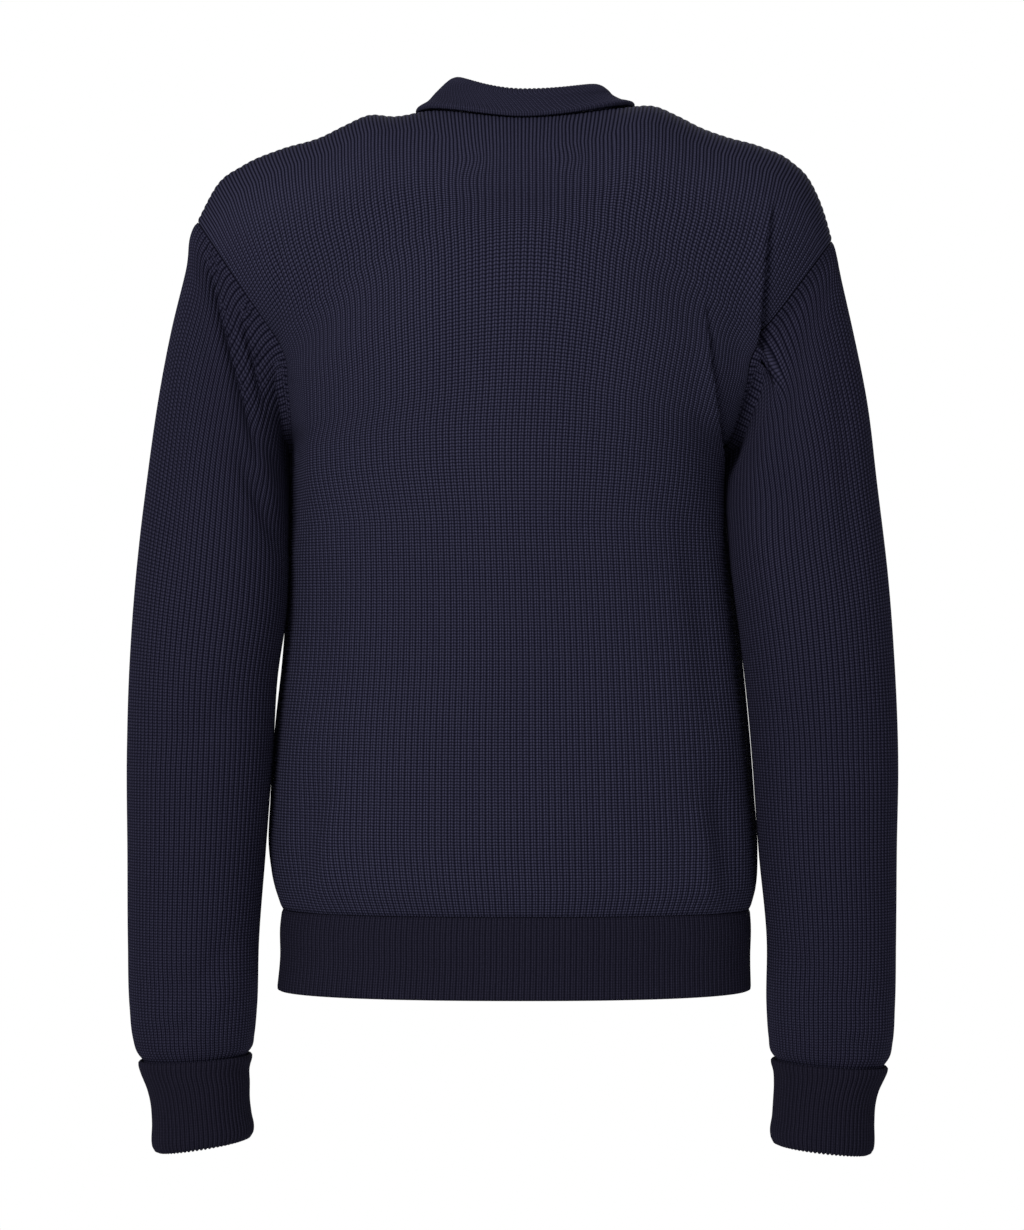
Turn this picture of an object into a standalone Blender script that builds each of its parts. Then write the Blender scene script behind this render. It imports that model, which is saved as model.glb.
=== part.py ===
"""High neck sweater: a ribbed wool jumper in the hollow form of the figure that fills it.

Each knitted piece is one closed wall. Its rings and rows are worked out from the tables below,
its ribs are raised in the outer points, and its inside is plain.
X runs to the wearer's left, -Y to the front and Z up. The origin is the middle of the neck base.
"""

import math
from collections import namedtuple

import bmesh
import bpy
import numpy as np
from mathutils.bvhtree import BVHTree

CURVE_STEPS = 240  # of a line before its columns are spread along it

# Cloth, in metres
WALL = 0.003
SEAM_GAP = 0.0003
RIB_HEIGHT = 0.0011  # from the groove to the top of a rib
LAYER = 0.0032  # one layer of the turned collar and cuffs

# Ribs that are raised on each piece, about a third of the number that is knitted
PANEL_RIBS = 40
SLEEVE_RIBS = 30
HEM_RIBS = 64
COLLAR_RIBS = 44
CUFF_RIBS = 22
PLAIN_STEP = 4  # outer columns to one column of the plain inside
PLAIN_EDGE = (0, 1, 2, 3, 4, 6)  # and the columns that it has beside a panel's edge
SIDE_COLUMNS = (0, 1, 2, -3, -2, -1)  # the panel's columns that a sleeve lies against
CONTACT_COLUMNS = 4  # and the sleeve's, on both sides of its innermost one

# Where a sleeve leaves the armhole
SEAM_STEP = 0.005
UNDERARM_GAP = 0.0004
UNDERARM_SHARE = 0.25  # of the way round the armhole

# Form of the body
SIDE_SQUARENESS = 2.3  # 2 is an ellipse, more is squarer
ARM_ROUNDNESS = 0.95  # 1 is an ellipse, less is squarer
SHOULDER_SQUARENESS = 2.4
SHOULDER_Y = -0.004  # the shoulder line, seen from above
NECK_HALF_WIDTH = 0.072
NECK_BACK = 0.052
NECK_FRONT = 0.062
SEAM_FORWARD = math.radians(11)  # how far the shoulder seam lies past the ridge
FAN = 2.0  # how fast the ribs spread towards the armholes
SEAM_EASE = 0.02  # the way in which the shoulder seam leaves the neck
SHOULDER_STEPS = (0.22, 0.43, 0.62, 0.80, 0.90, 1.0)
UNDERARM_Z = -0.243
PANEL_WIDTH = 0.48  # round the body, from one side seam to the other

# One row for each level of the body: its height at the middle, how far it droops at its edges,
# the sides' distance from the middle, the depth behind and before the side line,
# and how far the armhole is cut back from that line.
Level = namedtuple("Level", "z droop left right back front cut")
BODY = [
    Level(-0.582, 0.000, 0.1788, 0.1656, 0.097, 0.106, 0.000),
    Level(-0.566, 0.000, 0.1842, 0.1700, 0.104, 0.113, 0.000),
    Level(-0.540, 0.000, 0.1886, 0.1714, 0.107, 0.117, 0.000),
    Level(-0.500, 0.000, 0.1876, 0.1690, 0.107, 0.119, 0.000),
    Level(-0.450, 0.000, 0.1844, 0.1652, 0.105, 0.121, 0.000),
    Level(-0.400, 0.000, 0.1790, 0.1603, 0.102, 0.123, 0.000),
    Level(-0.350, 0.000, 0.1755, 0.1545, 0.101, 0.127, 0.000),
    Level(-0.295, 0.004, 0.1740, 0.1480, 0.103, 0.131, 0.000),
    Level(-0.243, 0.012, 0.1724, 0.1440, 0.107, 0.130, 0.000),
    Level(-0.195, 0.035, 0.1722, 0.1500, 0.109, 0.125, 0.033),
    Level(-0.140, 0.060, 0.1730, 0.1570, 0.107, 0.114, 0.047),
    Level(-0.085, 0.088, 0.1765, 0.1640, 0.094, 0.098, 0.052),
]

# The top of the shoulders as seen from behind, from the wearer's right to the left.
Ridge = namedtuple("Ridge", "x z")
RIDGE = [
    Ridge(-0.2263, -0.0906),
    Ridge(-0.2200, -0.0690),
    Ridge(-0.2110, -0.0485),
    Ridge(-0.1960, -0.0325),
    Ridge(-0.1740, -0.0218),
    Ridge(-0.1480, -0.0146),
    Ridge(-0.1300, -0.0082),
    Ridge(-0.1120, 0.0008),
    Ridge(-0.0960, 0.0075),
    Ridge(-0.0720, 0.0065),
    Ridge(0.0000, 0.0060),
    Ridge(0.0720, 0.0040),
    Ridge(0.0960, 0.0002),
    Ridge(0.1150, 0.0012),
    Ridge(0.1320, -0.0060),
    Ridge(0.1500, -0.0148),
    Ridge(0.1800, -0.0236),
    Ridge(0.2080, -0.0356),
    Ridge(0.2270, -0.0500),
    Ridge(0.2415, -0.0765),
]

# The hem band, by the same measures as the body.
Band = namedtuple("Band", "z left right back front")
HEM = [
    Band(-0.5823, 0.1785, 0.1652, 0.097, 0.106),
    Band(-0.5950, 0.1800, 0.1660, 0.098, 0.107),
    Band(-0.6180, 0.1800, 0.1655, 0.098, 0.107),
    Band(-0.6410, 0.1822, 0.1660, 0.099, 0.108),
]

# One row for each ring of a sleeve or cuff: its outer and inner point as seen from behind,
# half its depth, and how far its middle lies behind the side line.
Ring = namedtuple("Ring", "out_x out_z in_x in_z deep y")
LEFT_SLEEVE = [
    Ring(0.2486, -0.1135, 0.1756, -0.2700, 0.0550, 0.008),
    Ring(0.2584, -0.1562, 0.1752, -0.2840, 0.0570, 0.014),
    Ring(0.2678, -0.2078, 0.1750, -0.3020, 0.0570, 0.019),
    Ring(0.2764, -0.2705, 0.1745, -0.3300, 0.0560, 0.023),
    Ring(0.2836, -0.3368, 0.1757, -0.3665, 0.0540, 0.026),
    Ring(0.2882, -0.3995, 0.1803, -0.4105, 0.0520, 0.026),
    Ring(0.2904, -0.4658, 0.1850, -0.4658, 0.0500, 0.025),
    Ring(0.2904, -0.5395, 0.1909, -0.5395, 0.0480, 0.021),
    Ring(0.2907, -0.6058, 0.1952, -0.6058, 0.0460, 0.014),
    Ring(0.2900, -0.6545, 0.1970, -0.6545, 0.0440, 0.008),
    Ring(0.2880, -0.6770, 0.1992, -0.6750, 0.0415, 0.004),
    Ring(0.2852, -0.6880, 0.2012, -0.6845, 0.0398, 0.000),
    Ring(0.2808, -0.6940, 0.2048, -0.6895, 0.0368, 0.000),
    Ring(0.2796, -0.7024, 0.2058, -0.6974, 0.0358, 0.000),
]
RIGHT_SLEEVE = [
    Ring(-0.2326, -0.1238, -0.1484, -0.2720, 0.0550, 0.009),
    Ring(-0.2394, -0.1562, -0.1490, -0.2860, 0.0570, 0.015),
    Ring(-0.2493, -0.2078, -0.1503, -0.3036, 0.0570, 0.020),
    Ring(-0.2566, -0.2705, -0.1520, -0.3317, 0.0560, 0.025),
    Ring(-0.2642, -0.3368, -0.1563, -0.3685, 0.0540, 0.028),
    Ring(-0.2690, -0.3995, -0.1609, -0.4127, 0.0520, 0.028),
    Ring(-0.2718, -0.4658, -0.1657, -0.4658, 0.0500, 0.027),
    Ring(-0.2712, -0.5395, -0.1714, -0.5395, 0.0480, 0.023),
    Ring(-0.2713, -0.6058, -0.1772, -0.6058, 0.0460, 0.016),
    Ring(-0.2712, -0.6530, -0.1774, -0.6530, 0.0440, 0.009),
    Ring(-0.2700, -0.6800, -0.1793, -0.6770, 0.0415, 0.004),
    Ring(-0.2678, -0.6920, -0.1812, -0.6880, 0.0398, 0.000),
    Ring(-0.2634, -0.6985, -0.1850, -0.6935, 0.0368, 0.000),
    Ring(-0.2616, -0.7070, -0.1862, -0.7015, 0.0358, 0.000),
]
CUFF_THICK = 0.0067
CUFF_HEM_THICK = 0.0054
LEFT_CUFF = [
    Ring(0.2850, -0.6955, 0.2008, -0.6905, 0.0410, 0.000),
    Ring(0.2826, -0.7030, 0.2034, -0.6987, 0.0395, 0.000),
    Ring(0.2778, -0.7150, 0.2034, -0.7105, 0.0380, 0.000),
    Ring(0.2752, -0.7260, 0.2034, -0.7223, 0.0372, 0.000),
    Ring(0.2742, -0.7400, 0.2022, -0.7330, 0.0370, 0.000),
    Ring(0.2744, -0.7550, 0.2004, -0.7450, 0.0372, 0.000),
    Ring(0.2732, -0.7610, 0.2018, -0.7510, 0.0360, 0.000),
]
RIGHT_CUFF = [
    Ring(-0.2676, -0.7002, -0.1810, -0.6943, 0.0410, 0.000),
    Ring(-0.2642, -0.7075, -0.1834, -0.7016, 0.0395, 0.000),
    Ring(-0.2602, -0.7160, -0.1840, -0.7119, 0.0380, 0.000),
    Ring(-0.2576, -0.7265, -0.1834, -0.7237, 0.0372, 0.000),
    Ring(-0.2568, -0.7400, -0.1826, -0.7355, 0.0370, 0.000),
    Ring(-0.2568, -0.7560, -0.1812, -0.7475, 0.0372, 0.000),
    Ring(-0.2556, -0.7625, -0.1824, -0.7550, 0.0360, 0.000),
]

# The turned-down collar: for its left side, back, right side and front, the distance from
# the neck's middle and the height of each line that runs round it. The foot lies on the shoulders.
Line = namedtuple("Line", "left back right front left_z back_z right_z front_z")
NECK_MIDDLE_Y = -0.009
SEAM_OVERLAP = 0.0014
LIP_CLEAR = 0.0009
LIP_THICK = 0.0030
LIP_TUCK = 0.001  # how far the free edge's underside lies in
COLLAR_WAIST = 0.0012  # how far the collar draws in above that edge
RIM_LEAN, RIM_DROP = 0.0015, 0.003  # the rounded outside of the rim
RIM_THICK, RIM_INSIDE_DROP = 0.0038, 0.004  # and its inside
INSIDE_BULGE = 0.0005
ABOVE_NECK = 0.1  # from where the shoulders are looked down on
COLLAR_RIM = Line(0.0590, 0.0560, 0.0600, 0.0530, 0.0300, 0.0160, 0.0250, 0.0040)
COLLAR_SWELL = Line(0.0660, 0.0610, 0.0660, 0.0640, 0.0190, 0.0070, 0.0165, -0.0060)
COLLAR_FOOT = Line(0.0805, 0.0665, 0.0810, 0.0700, 0, 0, 0, 0)

# The largest folds: soft lines pressed into (negative depth) or raised from a piece.
# Each runs from x0, z0 to x1, z1 as seen from behind. Its facing is 1 on the back, -1 on the front.
Fold = namedtuple("Fold", "facing x0 z0 x1 z1 width depth")
FOLD_END = 0.08  # share of a fold that fades out at each end
BODY_FOLDS = [
    Fold(1, -0.172, -0.100, -0.156, -0.235, 0.012, -0.004),
    Fold(1, -0.157, -0.120, -0.146, -0.262, 0.010, 0.005),
    Fold(1, -0.132, -0.170, -0.137, -0.275, 0.011, -0.005),
    Fold(1, 0.160, -0.150, 0.166, -0.240, 0.012, -0.005),
    Fold(1, 0.150, -0.480, 0.166, -0.560, 0.014, -0.006),
    Fold(1, -0.138, -0.490, -0.150, -0.560, 0.014, -0.006),
    Fold(-1, 0.158, -0.140, 0.150, -0.250, 0.012, -0.008),
    Fold(-1, -0.150, -0.130, -0.136, -0.250, 0.012, -0.008),
    Fold(-1, 0.110, -0.250, 0.150, -0.340, 0.018, -0.005),
    Fold(-1, -0.095, -0.250, -0.128, -0.350, 0.018, -0.005),
]
LEFT_FOLDS = [
    Fold(1, 0.215, -0.130, 0.196, -0.215, 0.010, -0.006),
    Fold(1, 0.196, -0.250, 0.250, -0.300, 0.014, -0.005),
    Fold(-1, 0.200, -0.380, 0.268, -0.345, 0.014, -0.006),
    Fold(1, 0.215, -0.610, 0.265, -0.640, 0.013, -0.004),
    Fold(-1, 0.215, -0.600, 0.265, -0.570, 0.014, -0.005),
]
RIGHT_FOLDS = [
    Fold(1, -0.200, -0.130, -0.182, -0.220, 0.010, -0.006),
    Fold(1, -0.180, -0.260, -0.232, -0.310, 0.014, -0.005),
    Fold(-1, -0.185, -0.390, -0.250, -0.350, 0.014, -0.006),
    Fold(1, -0.200, -0.620, -0.250, -0.650, 0.013, -0.004),
    Fold(-1, -0.200, -0.610, -0.250, -0.580, 0.014, -0.005),
]


def column(rows, name):
    return np.array([getattr(row, name) for row in rows])


def curve(keys, values, at):
    """Values read off a smooth curve through the rows of a table."""
    keys, values, at = (np.asarray(a, float) for a in (keys, values, at))
    slope = np.gradient(values, keys, axis=0)
    i = np.clip(np.searchsorted(keys, at) - 1, 0, len(keys) - 2)
    step = keys[i + 1] - keys[i]
    t = np.clip((at - keys[i]) / step, 0, 1)
    tail = (1,) * (values.ndim - 1)
    t, step = t.reshape(t.shape + tail), step.reshape(step.shape + tail)
    start = values[i] * (2 * t**3 - 3 * t**2 + 1) + slope[i] * step * (t**3 - 2 * t**2 + t)
    return start + values[i + 1] * (3 * t**2 - 2 * t**3) + slope[i + 1] * step * (t**3 - t**2)


def evenly(line, shares):
    """Points at the given shares of a line's length."""
    run = np.concatenate([[0.0], np.cumsum(np.linalg.norm(np.diff(line, axis=0), axis=1))])
    return np.stack([np.interp(shares * run[-1], run, line[:, k]) for k in range(3)], axis=1)


def power(base, exponent):
    return np.sign(base) * np.abs(base) ** exponent


def body_level(z):
    return {name: curve(column(BODY, "z"), column(BODY, name), z) for name in Level._fields[1:]}


def side_angle(side, depth, cut):
    """The widest ellipse through a cut edge, and the angle from the middle at which it is cut."""
    n = SIDE_SQUARENESS
    widest = side / (1 - (cut / depth) ** n) ** (1 / n)
    return widest, math.asin(min(1.0, (side / widest) ** (n / 2)))


def body_row(z, shares, facing):
    """One level of a panel, from the wearer's right edge (0) to the left edge (1)."""
    at = body_level(z)
    depth = at["back"] if facing > 0 else at["front"]
    cut = max(0.0, float(at["cut"]))
    right, right_angle = side_angle(at["right"], depth, cut)
    left, left_angle = side_angle(at["left"], depth, cut)
    angle = np.linspace(-right_angle, left_angle, CURVE_STEPS + 1)
    across = power(np.sin(angle), 2 / SIDE_SQUARENESS)
    x = np.where(angle < 0, right, left) * across
    y = facing * depth * np.cos(angle) ** (2 / SIDE_SQUARENESS)
    edge = np.where(x < 0, at["right"], at["left"])
    line = np.stack([x, y, z - at["droop"] * np.abs(x / edge) ** 2], axis=1)
    return evenly(line, shares)


def ridge_height(x):
    return curve(column(RIDGE, "x"), column(RIDGE, "z"), x)


def shoulder_columns(shares):
    """Where each column starts its way over the shoulder, behind and in front, and its top."""
    behind, before = body_row(BODY[-1].z, shares, 1), body_row(BODY[-1].z, shares, -1)
    across = 2 * shares - 1
    edge = np.where(across < 0, RIDGE[0].x - behind[0, 0], RIDGE[-1].x - behind[-1, 0])
    top_x = behind[:, 0] + edge * np.abs(across) ** FAN
    top = np.stack([top_x, np.full_like(top_x, SHOULDER_Y), ridge_height(top_x)], axis=1)
    return behind, before, top


def over_shoulder(base, top, angle):
    """A point of each column, from its base (0) to the ridge (a right angle)."""
    lift = power(np.sin(angle), 2 / SHOULDER_SQUARENESS)[:, None]
    turn = power(np.cos(angle), 2 / SHOULDER_SQUARENESS)[:, None]
    out = base + (top - base) * lift
    out[:, 1] = (SHOULDER_Y + (base - top) * turn)[:, 1]
    return out


def shoulder_rows(shares, facing):
    """Rows from the top level of a panel over the shoulder to its seam and the neck edge."""
    behind, before, top = shoulder_columns(shares)
    base = behind if facing > 0 else before
    neck = np.clip(1 - (top[:, 0] / NECK_HALF_WIDTH) ** 2, 0, 1) ** 0.5
    reach = neck * (NECK_BACK if facing > 0 else NECK_FRONT)
    deep = np.maximum(np.abs(base[:, 1] - SHOULDER_Y), 1e-6)
    end = np.arccos(np.clip(reach / deep, 0, 1) ** (SHOULDER_SQUARENESS / 2))
    past = np.clip((np.abs(top[:, 0]) - NECK_HALF_WIDTH) / SEAM_EASE, 0, 1)
    past = past * past * (3 - 2 * past)
    end = end + past * (facing * SEAM_FORWARD - SEAM_GAP / 2 / deep)
    rows = []
    for step in SHOULDER_STEPS:
        angle = step * end
        on_base_side = over_shoulder(base, top, np.minimum(angle, math.pi / 2))
        past_ridge = over_shoulder(before, top, np.minimum(math.pi - angle, math.pi / 2))
        rows.append(np.where(angle[:, None] > math.pi / 2, past_ridge, on_base_side))
    return rows


def panel_grid(columns, facing):
    """The outer face of the back (1) or front (-1) panel, before its ribs and folds."""
    trim = SEAM_GAP / 2 / PANEL_WIDTH
    shares = np.linspace(trim, 1 - trim, columns + 1)
    rows = [body_row(level.z, shares, facing) for level in BODY]
    return np.array(rows + shoulder_rows(shares, facing))


def normals_of(grid, closed):
    """Directions square to a grid's rows and columns."""
    if closed:
        around = np.roll(grid, -1, axis=1) - np.roll(grid, 1, axis=1)
    else:
        around = np.gradient(grid, axis=1)
    up = np.gradient(grid, axis=0)
    normal = np.cross(around, up)
    return normal / np.maximum(np.linalg.norm(normal, axis=2, keepdims=True), 1e-12)


def outwards(grid, normal, middle):
    """The normals turned away from the middle of the piece."""
    facing = ((grid - middle) * normal).sum()
    return normal if facing > 0 else -normal


def folded(grid, normal, folds, middle_y):
    """The grid with the folds pressed in or raised."""
    out = grid.copy()
    for fold in folds:
        start, end = np.array([fold.x0, fold.z0]), np.array([fold.x1, fold.z1])
        seen = grid[:, :, [0, 2]] - start
        run = end - start
        along = np.clip((seen @ run) / (run @ run), 0, 1)
        gap = np.linalg.norm(seen - along[..., None] * run, axis=2)
        taper = np.sin(np.pi * np.clip(along, FOLD_END, 1 - FOLD_END))
        near = np.exp(-((gap / fold.width) ** 2)) * taper
        near = near * (fold.facing * (grid[:, :, 1] - middle_y) > 0)
        out += normal * (near * fold.depth)[..., None]
    return out


def ribbed(grid, normal, first, last, smooth=()):
    """The outer points with every second column raised, but for the first and last rows given
    and the smooth columns, where a sleeve lies against the body."""
    height = np.full(grid.shape[:2], -RIB_HEIGHT / 2)
    height[:, 1::2] = RIB_HEIGHT / 2
    height[:first] = 0
    height[len(grid) - last :] = 0
    height[:, list(smooth)] = 0
    return grid + normal * height[..., None]


def plain_columns(last, closed):
    """The columns that the plain inside keeps: fewer than the outside has."""
    if closed:
        return list(range(0, last + 1, PLAIN_STEP))
    middle = list(range(2 * PLAIN_STEP, last - 2 * PLAIN_STEP + 1, PLAIN_STEP))
    return list(PLAIN_EDGE) + middle + [last - k for k in reversed(PLAIN_EDGE)]


def plain(grid, normal, closed):
    """The inside points, moved in by the cloth's thickness."""
    return (grid - normal * WALL)[:, plain_columns(grid.shape[1] - 1, closed)]


def stitch(one, other, places, closed):
    """Triangles between two rows of points; the places say which of one's each of the other's meets."""
    a, b, at = list(one), list(other), list(places)
    if closed:
        a, b, at = a + a[:1], b + b[:1], at + [len(one)]
    faces, i, j = [], 0, 0
    while i < len(a) - 1 or j < len(b) - 1:
        if j == len(b) - 1 or (i < len(a) - 1 and i + 0.5 <= (at[j] + at[j + 1]) / 2):
            faces.append((a[i], a[i + 1], b[j]))
            i += 1
        else:
            faces.append((a[i], b[j + 1], b[j]))
            j += 1
    return faces


def quads(ids, closed):
    after = np.roll(ids, -1, axis=1) if closed else ids[:, 1:]
    here = ids if closed else ids[:, :-1]
    return [
        (here[r, c], after[r, c], after[r + 1, c], here[r + 1, c])
        for r in range(len(ids) - 1)
        for c in range(here.shape[1])
    ]


def wall(name, outer, inner, closed, colour):
    """One closed solid between an outer and an inner grid of points."""
    outer_ids = np.arange(outer.shape[0] * outer.shape[1]).reshape(outer.shape[:2])
    inner_ids = np.arange(inner.shape[0] * inner.shape[1]).reshape(inner.shape[:2]) + outer_ids.size
    faces = quads(outer_ids, closed) + [face[::-1] for face in quads(inner_ids, closed)]
    places = plain_columns(outer.shape[1] - 1, closed)
    for end in (0, -1):
        faces += stitch(outer_ids[end], inner_ids[end], places, closed)
        if not closed:
            faces += stitch(outer_ids[:, end], inner_ids[:, end], range(len(inner)), False)
    mesh = bpy.data.meshes.new(name)
    shape = bmesh.new()
    points = [shape.verts.new(p) for p in np.concatenate([outer.reshape(-1, 3), inner.reshape(-1, 3)])]
    for face in faces:
        shape.faces.new([points[k] for k in face])
    bmesh.ops.recalc_face_normals(shape, faces=shape.faces)
    bmesh.ops.triangulate(shape, faces=shape.faces)
    shape.to_mesh(mesh)
    shape.free()
    mesh.materials.append(wool(name, colour))
    piece = bpy.data.objects.new(name, mesh)
    garment.objects.link(piece)
    return piece


def wool(name, colour):
    material = bpy.data.materials.new(name + "_wool")
    material.use_nodes = True
    shader = material.node_tree.nodes["Principled BSDF"]
    shader.inputs["Base Color"].default_value = (*colour, 1)
    shader.inputs["Roughness"].default_value = 0.95
    shader.inputs["Metallic"].default_value = 0
    return material


def panel_face(facing):
    """The grid of a panel with its folds, and the directions out of it."""
    grid = panel_grid(2 * PANEL_RIBS, facing)
    normal = outwards(grid, normals_of(grid, False), grid.mean(axis=(0, 1)) * (1, 0, 1))
    grid = folded(grid, normal, [fold for fold in BODY_FOLDS if fold.facing == facing], 0)
    normal = outwards(grid, normals_of(grid, False), grid.mean(axis=(0, 1)) * (1, 0, 1))
    normal[0, :, 2] = 0
    return grid, unit(normal)


def share_seams():
    """Give both panels the same directions along the side and shoulder seams."""
    sides = [(row, edge) for row in range(UNDERARM + 1) for edge in (0, -1)]
    tops = [(-1, k) for k, x in enumerate(back_grid[-1, :, 0]) if abs(x) > NECK_HALF_WIDTH]
    for place in sides + tops:
        shared = back_normal[place] + front_normal[place]
        back_normal[place] = front_normal[place] = shared / np.linalg.norm(shared)


def panel(name, grid, normal):
    return wall(name, ribbed(grid, normal, 0, 1, SIDE_COLUMNS), plain(grid, normal, False), False, BODY_COLOUR)


def unit(directions):
    return directions / np.maximum(np.linalg.norm(directions, axis=-1, keepdims=True), 1e-12)


def spread_over(line, count):
    """Shares of a line's length that keep its corners: count steps, most in its longest stretches."""
    lengths = np.linalg.norm(np.diff(line, axis=0), axis=1)
    parts = np.maximum(1, np.floor(count * lengths / lengths.sum())).astype(int)
    while parts.sum() < count:
        parts[np.argmax(lengths / parts)] += 1
    while parts.sum() > count:
        parts[np.argmin(np.where(parts > 1, lengths / parts, np.inf))] -= 1
    ends = np.arange(len(line))
    places = np.concatenate([k + np.arange(n) / n for k, n in zip(ends, parts)] + [ends[-1:]])
    return places


def armhole(side, half):
    """The cut edge that a sleeve is sewn to, its outward directions and the way on past it.

    It runs from the shoulder down the back to the underarm, and up the front.
    """
    edge, inside = (-1, -2) if side > 0 else (0, 1)
    halves = []
    for grid, normal in ((back_grid, back_normal), (front_grid, front_normal)):
        line = grid[UNDERARM:, edge][::-1]
        facing = normal[UNDERARM:, edge][::-1]
        way = unit(np.cross(facing, np.gradient(line, axis=0)))
        away = ((line - grid[UNDERARM:, inside][::-1]) * way).sum()
        way = way if away > 0 else -way
        places = spread_over(line, half)
        rows = np.arange(len(line))
        halves.append([
            np.stack([np.interp(places, rows, a[:, k]) for k in range(3)], axis=1)
            for a in (line, facing, way)
        ])
    joined = []
    for behind, before in zip(*halves):
        shoulder, under = (behind[0] + before[0]) / 2, (behind[-1] + before[-1]) / 2
        joined.append(np.concatenate([[shoulder], behind[1:-1], [under], before[1:-1][::-1]]))
    return joined


def ring_points(ring, half):
    """A sleeve's ring, from its outer point round the back to the inner point and on."""
    middle = np.array([(ring.out_x + ring.in_x) / 2, ring.y, (ring.out_z + ring.in_z) / 2])
    arm = np.array([ring.out_x - middle[0], 0, ring.out_z - middle[2]])
    angle = np.linspace(0, math.pi, CURVE_STEPS + 1)[:, None]
    across = power(np.cos(angle), ARM_ROUNDNESS)
    deep = power(np.sin(angle), ARM_ROUNDNESS) * np.array([0, ring.deep, 0])
    shares = np.linspace(0, 1, half + 1)
    behind = evenly(middle + arm * across + deep, shares)[:-1]
    before = evenly(middle + arm * across - deep, shares)[::-1][:-1]
    return np.concatenate([behind, before])


def sleeve(name, side, rings, folds):
    """A sleeve: it starts at the armhole, turns down under the arm and ends inside its cuff."""
    start, facing, way = armhole(side, SLEEVE_RIBS)
    place = np.linspace(-1, 1, 2 * SLEEVE_RIBS, endpoint=False)
    under = np.exp(-((place / UNDERARM_SHARE) ** 2))[:, None]
    first = start + way * (SEAM_GAP + UNDERARM_GAP * under)
    second = start + way * SEAM_STEP
    grid = np.array([first, second] + [ring_points(ring, SLEEVE_RIBS) for ring in rings])
    normal = turned_out(grid)
    bend = np.linalg.norm(facing - normal[2], axis=1, keepdims=True)
    normal[0] = facing
    normal[1] = unit(unit(facing) + normal[2] - unit(way) * bend)
    grid[2:] = folded(grid, normal, folds, 0)[2:]
    by_the_body = range(SLEEVE_RIBS - CONTACT_COLUMNS, SLEEVE_RIBS + CONTACT_COLUMNS + 1)
    outer = np.concatenate([[first - facing * WALL], ribbed(grid, normal, 2, 3, by_the_body)])
    wall(name, outer, plain(grid[1:], normal[1:], True), True, SLEEVE_COLOUR)


def hem_band():
    shares = np.linspace(0, 1, HEM_RIBS + 1)
    rows = []
    for band in HEM:
        angle = np.linspace(-math.pi / 2, math.pi / 2, CURVE_STEPS + 1)
        across = power(np.sin(angle), 2 / SIDE_SQUARENESS)
        x = np.where(angle < 0, band.right, band.left) * across
        round_it = np.cos(angle).clip(0) ** (2 / SIDE_SQUARENESS)
        level = np.full_like(x, band.z)
        behind = evenly(np.stack([x, band.back * round_it, level], axis=1), shares)[:-1]
        before = evenly(np.stack([x, -band.front * round_it, level], axis=1), shares)[::-1][:-1]
        rows.append(np.concatenate([behind, before]))
    grid = np.array(rows)
    normal = turned_out(grid)
    normal[0, :, 2] = 0
    wall("hem_band", ribbed(grid, normal, 0, 0), plain(grid, normal, True), True, TRIM_COLOUR)


def turned_out(grid):
    """Directions out of a tube: away from the line through the middles of its rings."""
    normal = normals_of(grid, True)
    facing = ((grid - grid.mean(axis=1, keepdims=True)) * normal).sum()
    return normal if facing > 0 else -normal


def cuff(name, rings, sleeve_end):
    """A turned-back cuff: two layers in one wall, with the free edge standing above the seam."""
    outside = np.array([ring_points(ring, CUFF_RIBS) for ring in rings])
    normal = turned_out(outside)
    end = ring_points(sleeve_end, CUFF_RIBS)
    out = unit((end - end.mean(axis=0)) * [1, 1, 0])
    drop = np.array([0, 0, -SEAM_GAP])
    under_lip = end + out * LIP_CLEAR + drop
    inner_lip = outside[0] - normal[0] * LIP_THICK
    outer = np.concatenate([[under_lip, inner_lip], ribbed(outside, normal, 0, 0)])
    inner = outside - normal * CUFF_THICK
    inner[-1] = outside[-1] - normal[-1] * CUFF_HEM_THICK
    inner = np.concatenate([[end - out * WALL + drop], inner[2:]])
    return wall(name, outer, inner[:, ::PLAIN_STEP], True, TRIM_COLOUR)


def collar_ring(line, count):
    """A line round the collar, from the wearer's left side round the back."""
    angle = np.linspace(0, 2 * math.pi, CURVE_STEPS + 1)
    c, s = np.cos(angle), np.sin(angle)
    x = np.where(c > 0, line.left, line.right) * c
    y = NECK_MIDDLE_Y + np.where(s > 0, line.back, line.front) * s
    z = np.where(c > 0, line.left_z, line.right_z) * c**2
    z = z + np.where(s > 0, line.back_z, line.front_z) * s**2
    ring = np.stack([x, y, z], axis=1)
    return evenly(ring, np.linspace(0, 1, count + 1))[:-1]


def neck_edge(count):
    """The sewn edge of the neck, from the wearer's left side round the back."""
    inside = np.abs(back_grid[-1, :, 0]) < NECK_HALF_WIDTH
    behind, before = back_grid[-1][inside][::-1], front_grid[-1][inside]
    ring = np.concatenate([behind, before, behind[:1]])
    return evenly(ring, np.linspace(0, 1, count + 1))[:-1]


def on_shoulders(ring, clear):
    """The ring laid on the back and front panels, that far above them."""
    heights = []
    for x, y, z in ring:
        hits = [tree.ray_cast((x, y, ABOVE_NECK), (0, 0, -1))[0] for tree in panel_trees]
        heights.append(max([hit.z for hit in hits if hit] or [z]))
    out = ring.copy()
    out[:, 2] = np.max([np.roll(heights, step) for step in (-1, 0, 1)], axis=0) + clear
    return out


def from_neck(ring):
    """Level directions from the middle of the neck to a ring."""
    return unit((ring - [0, NECK_MIDDLE_Y, 0]) * [1, 1, 0])


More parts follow.
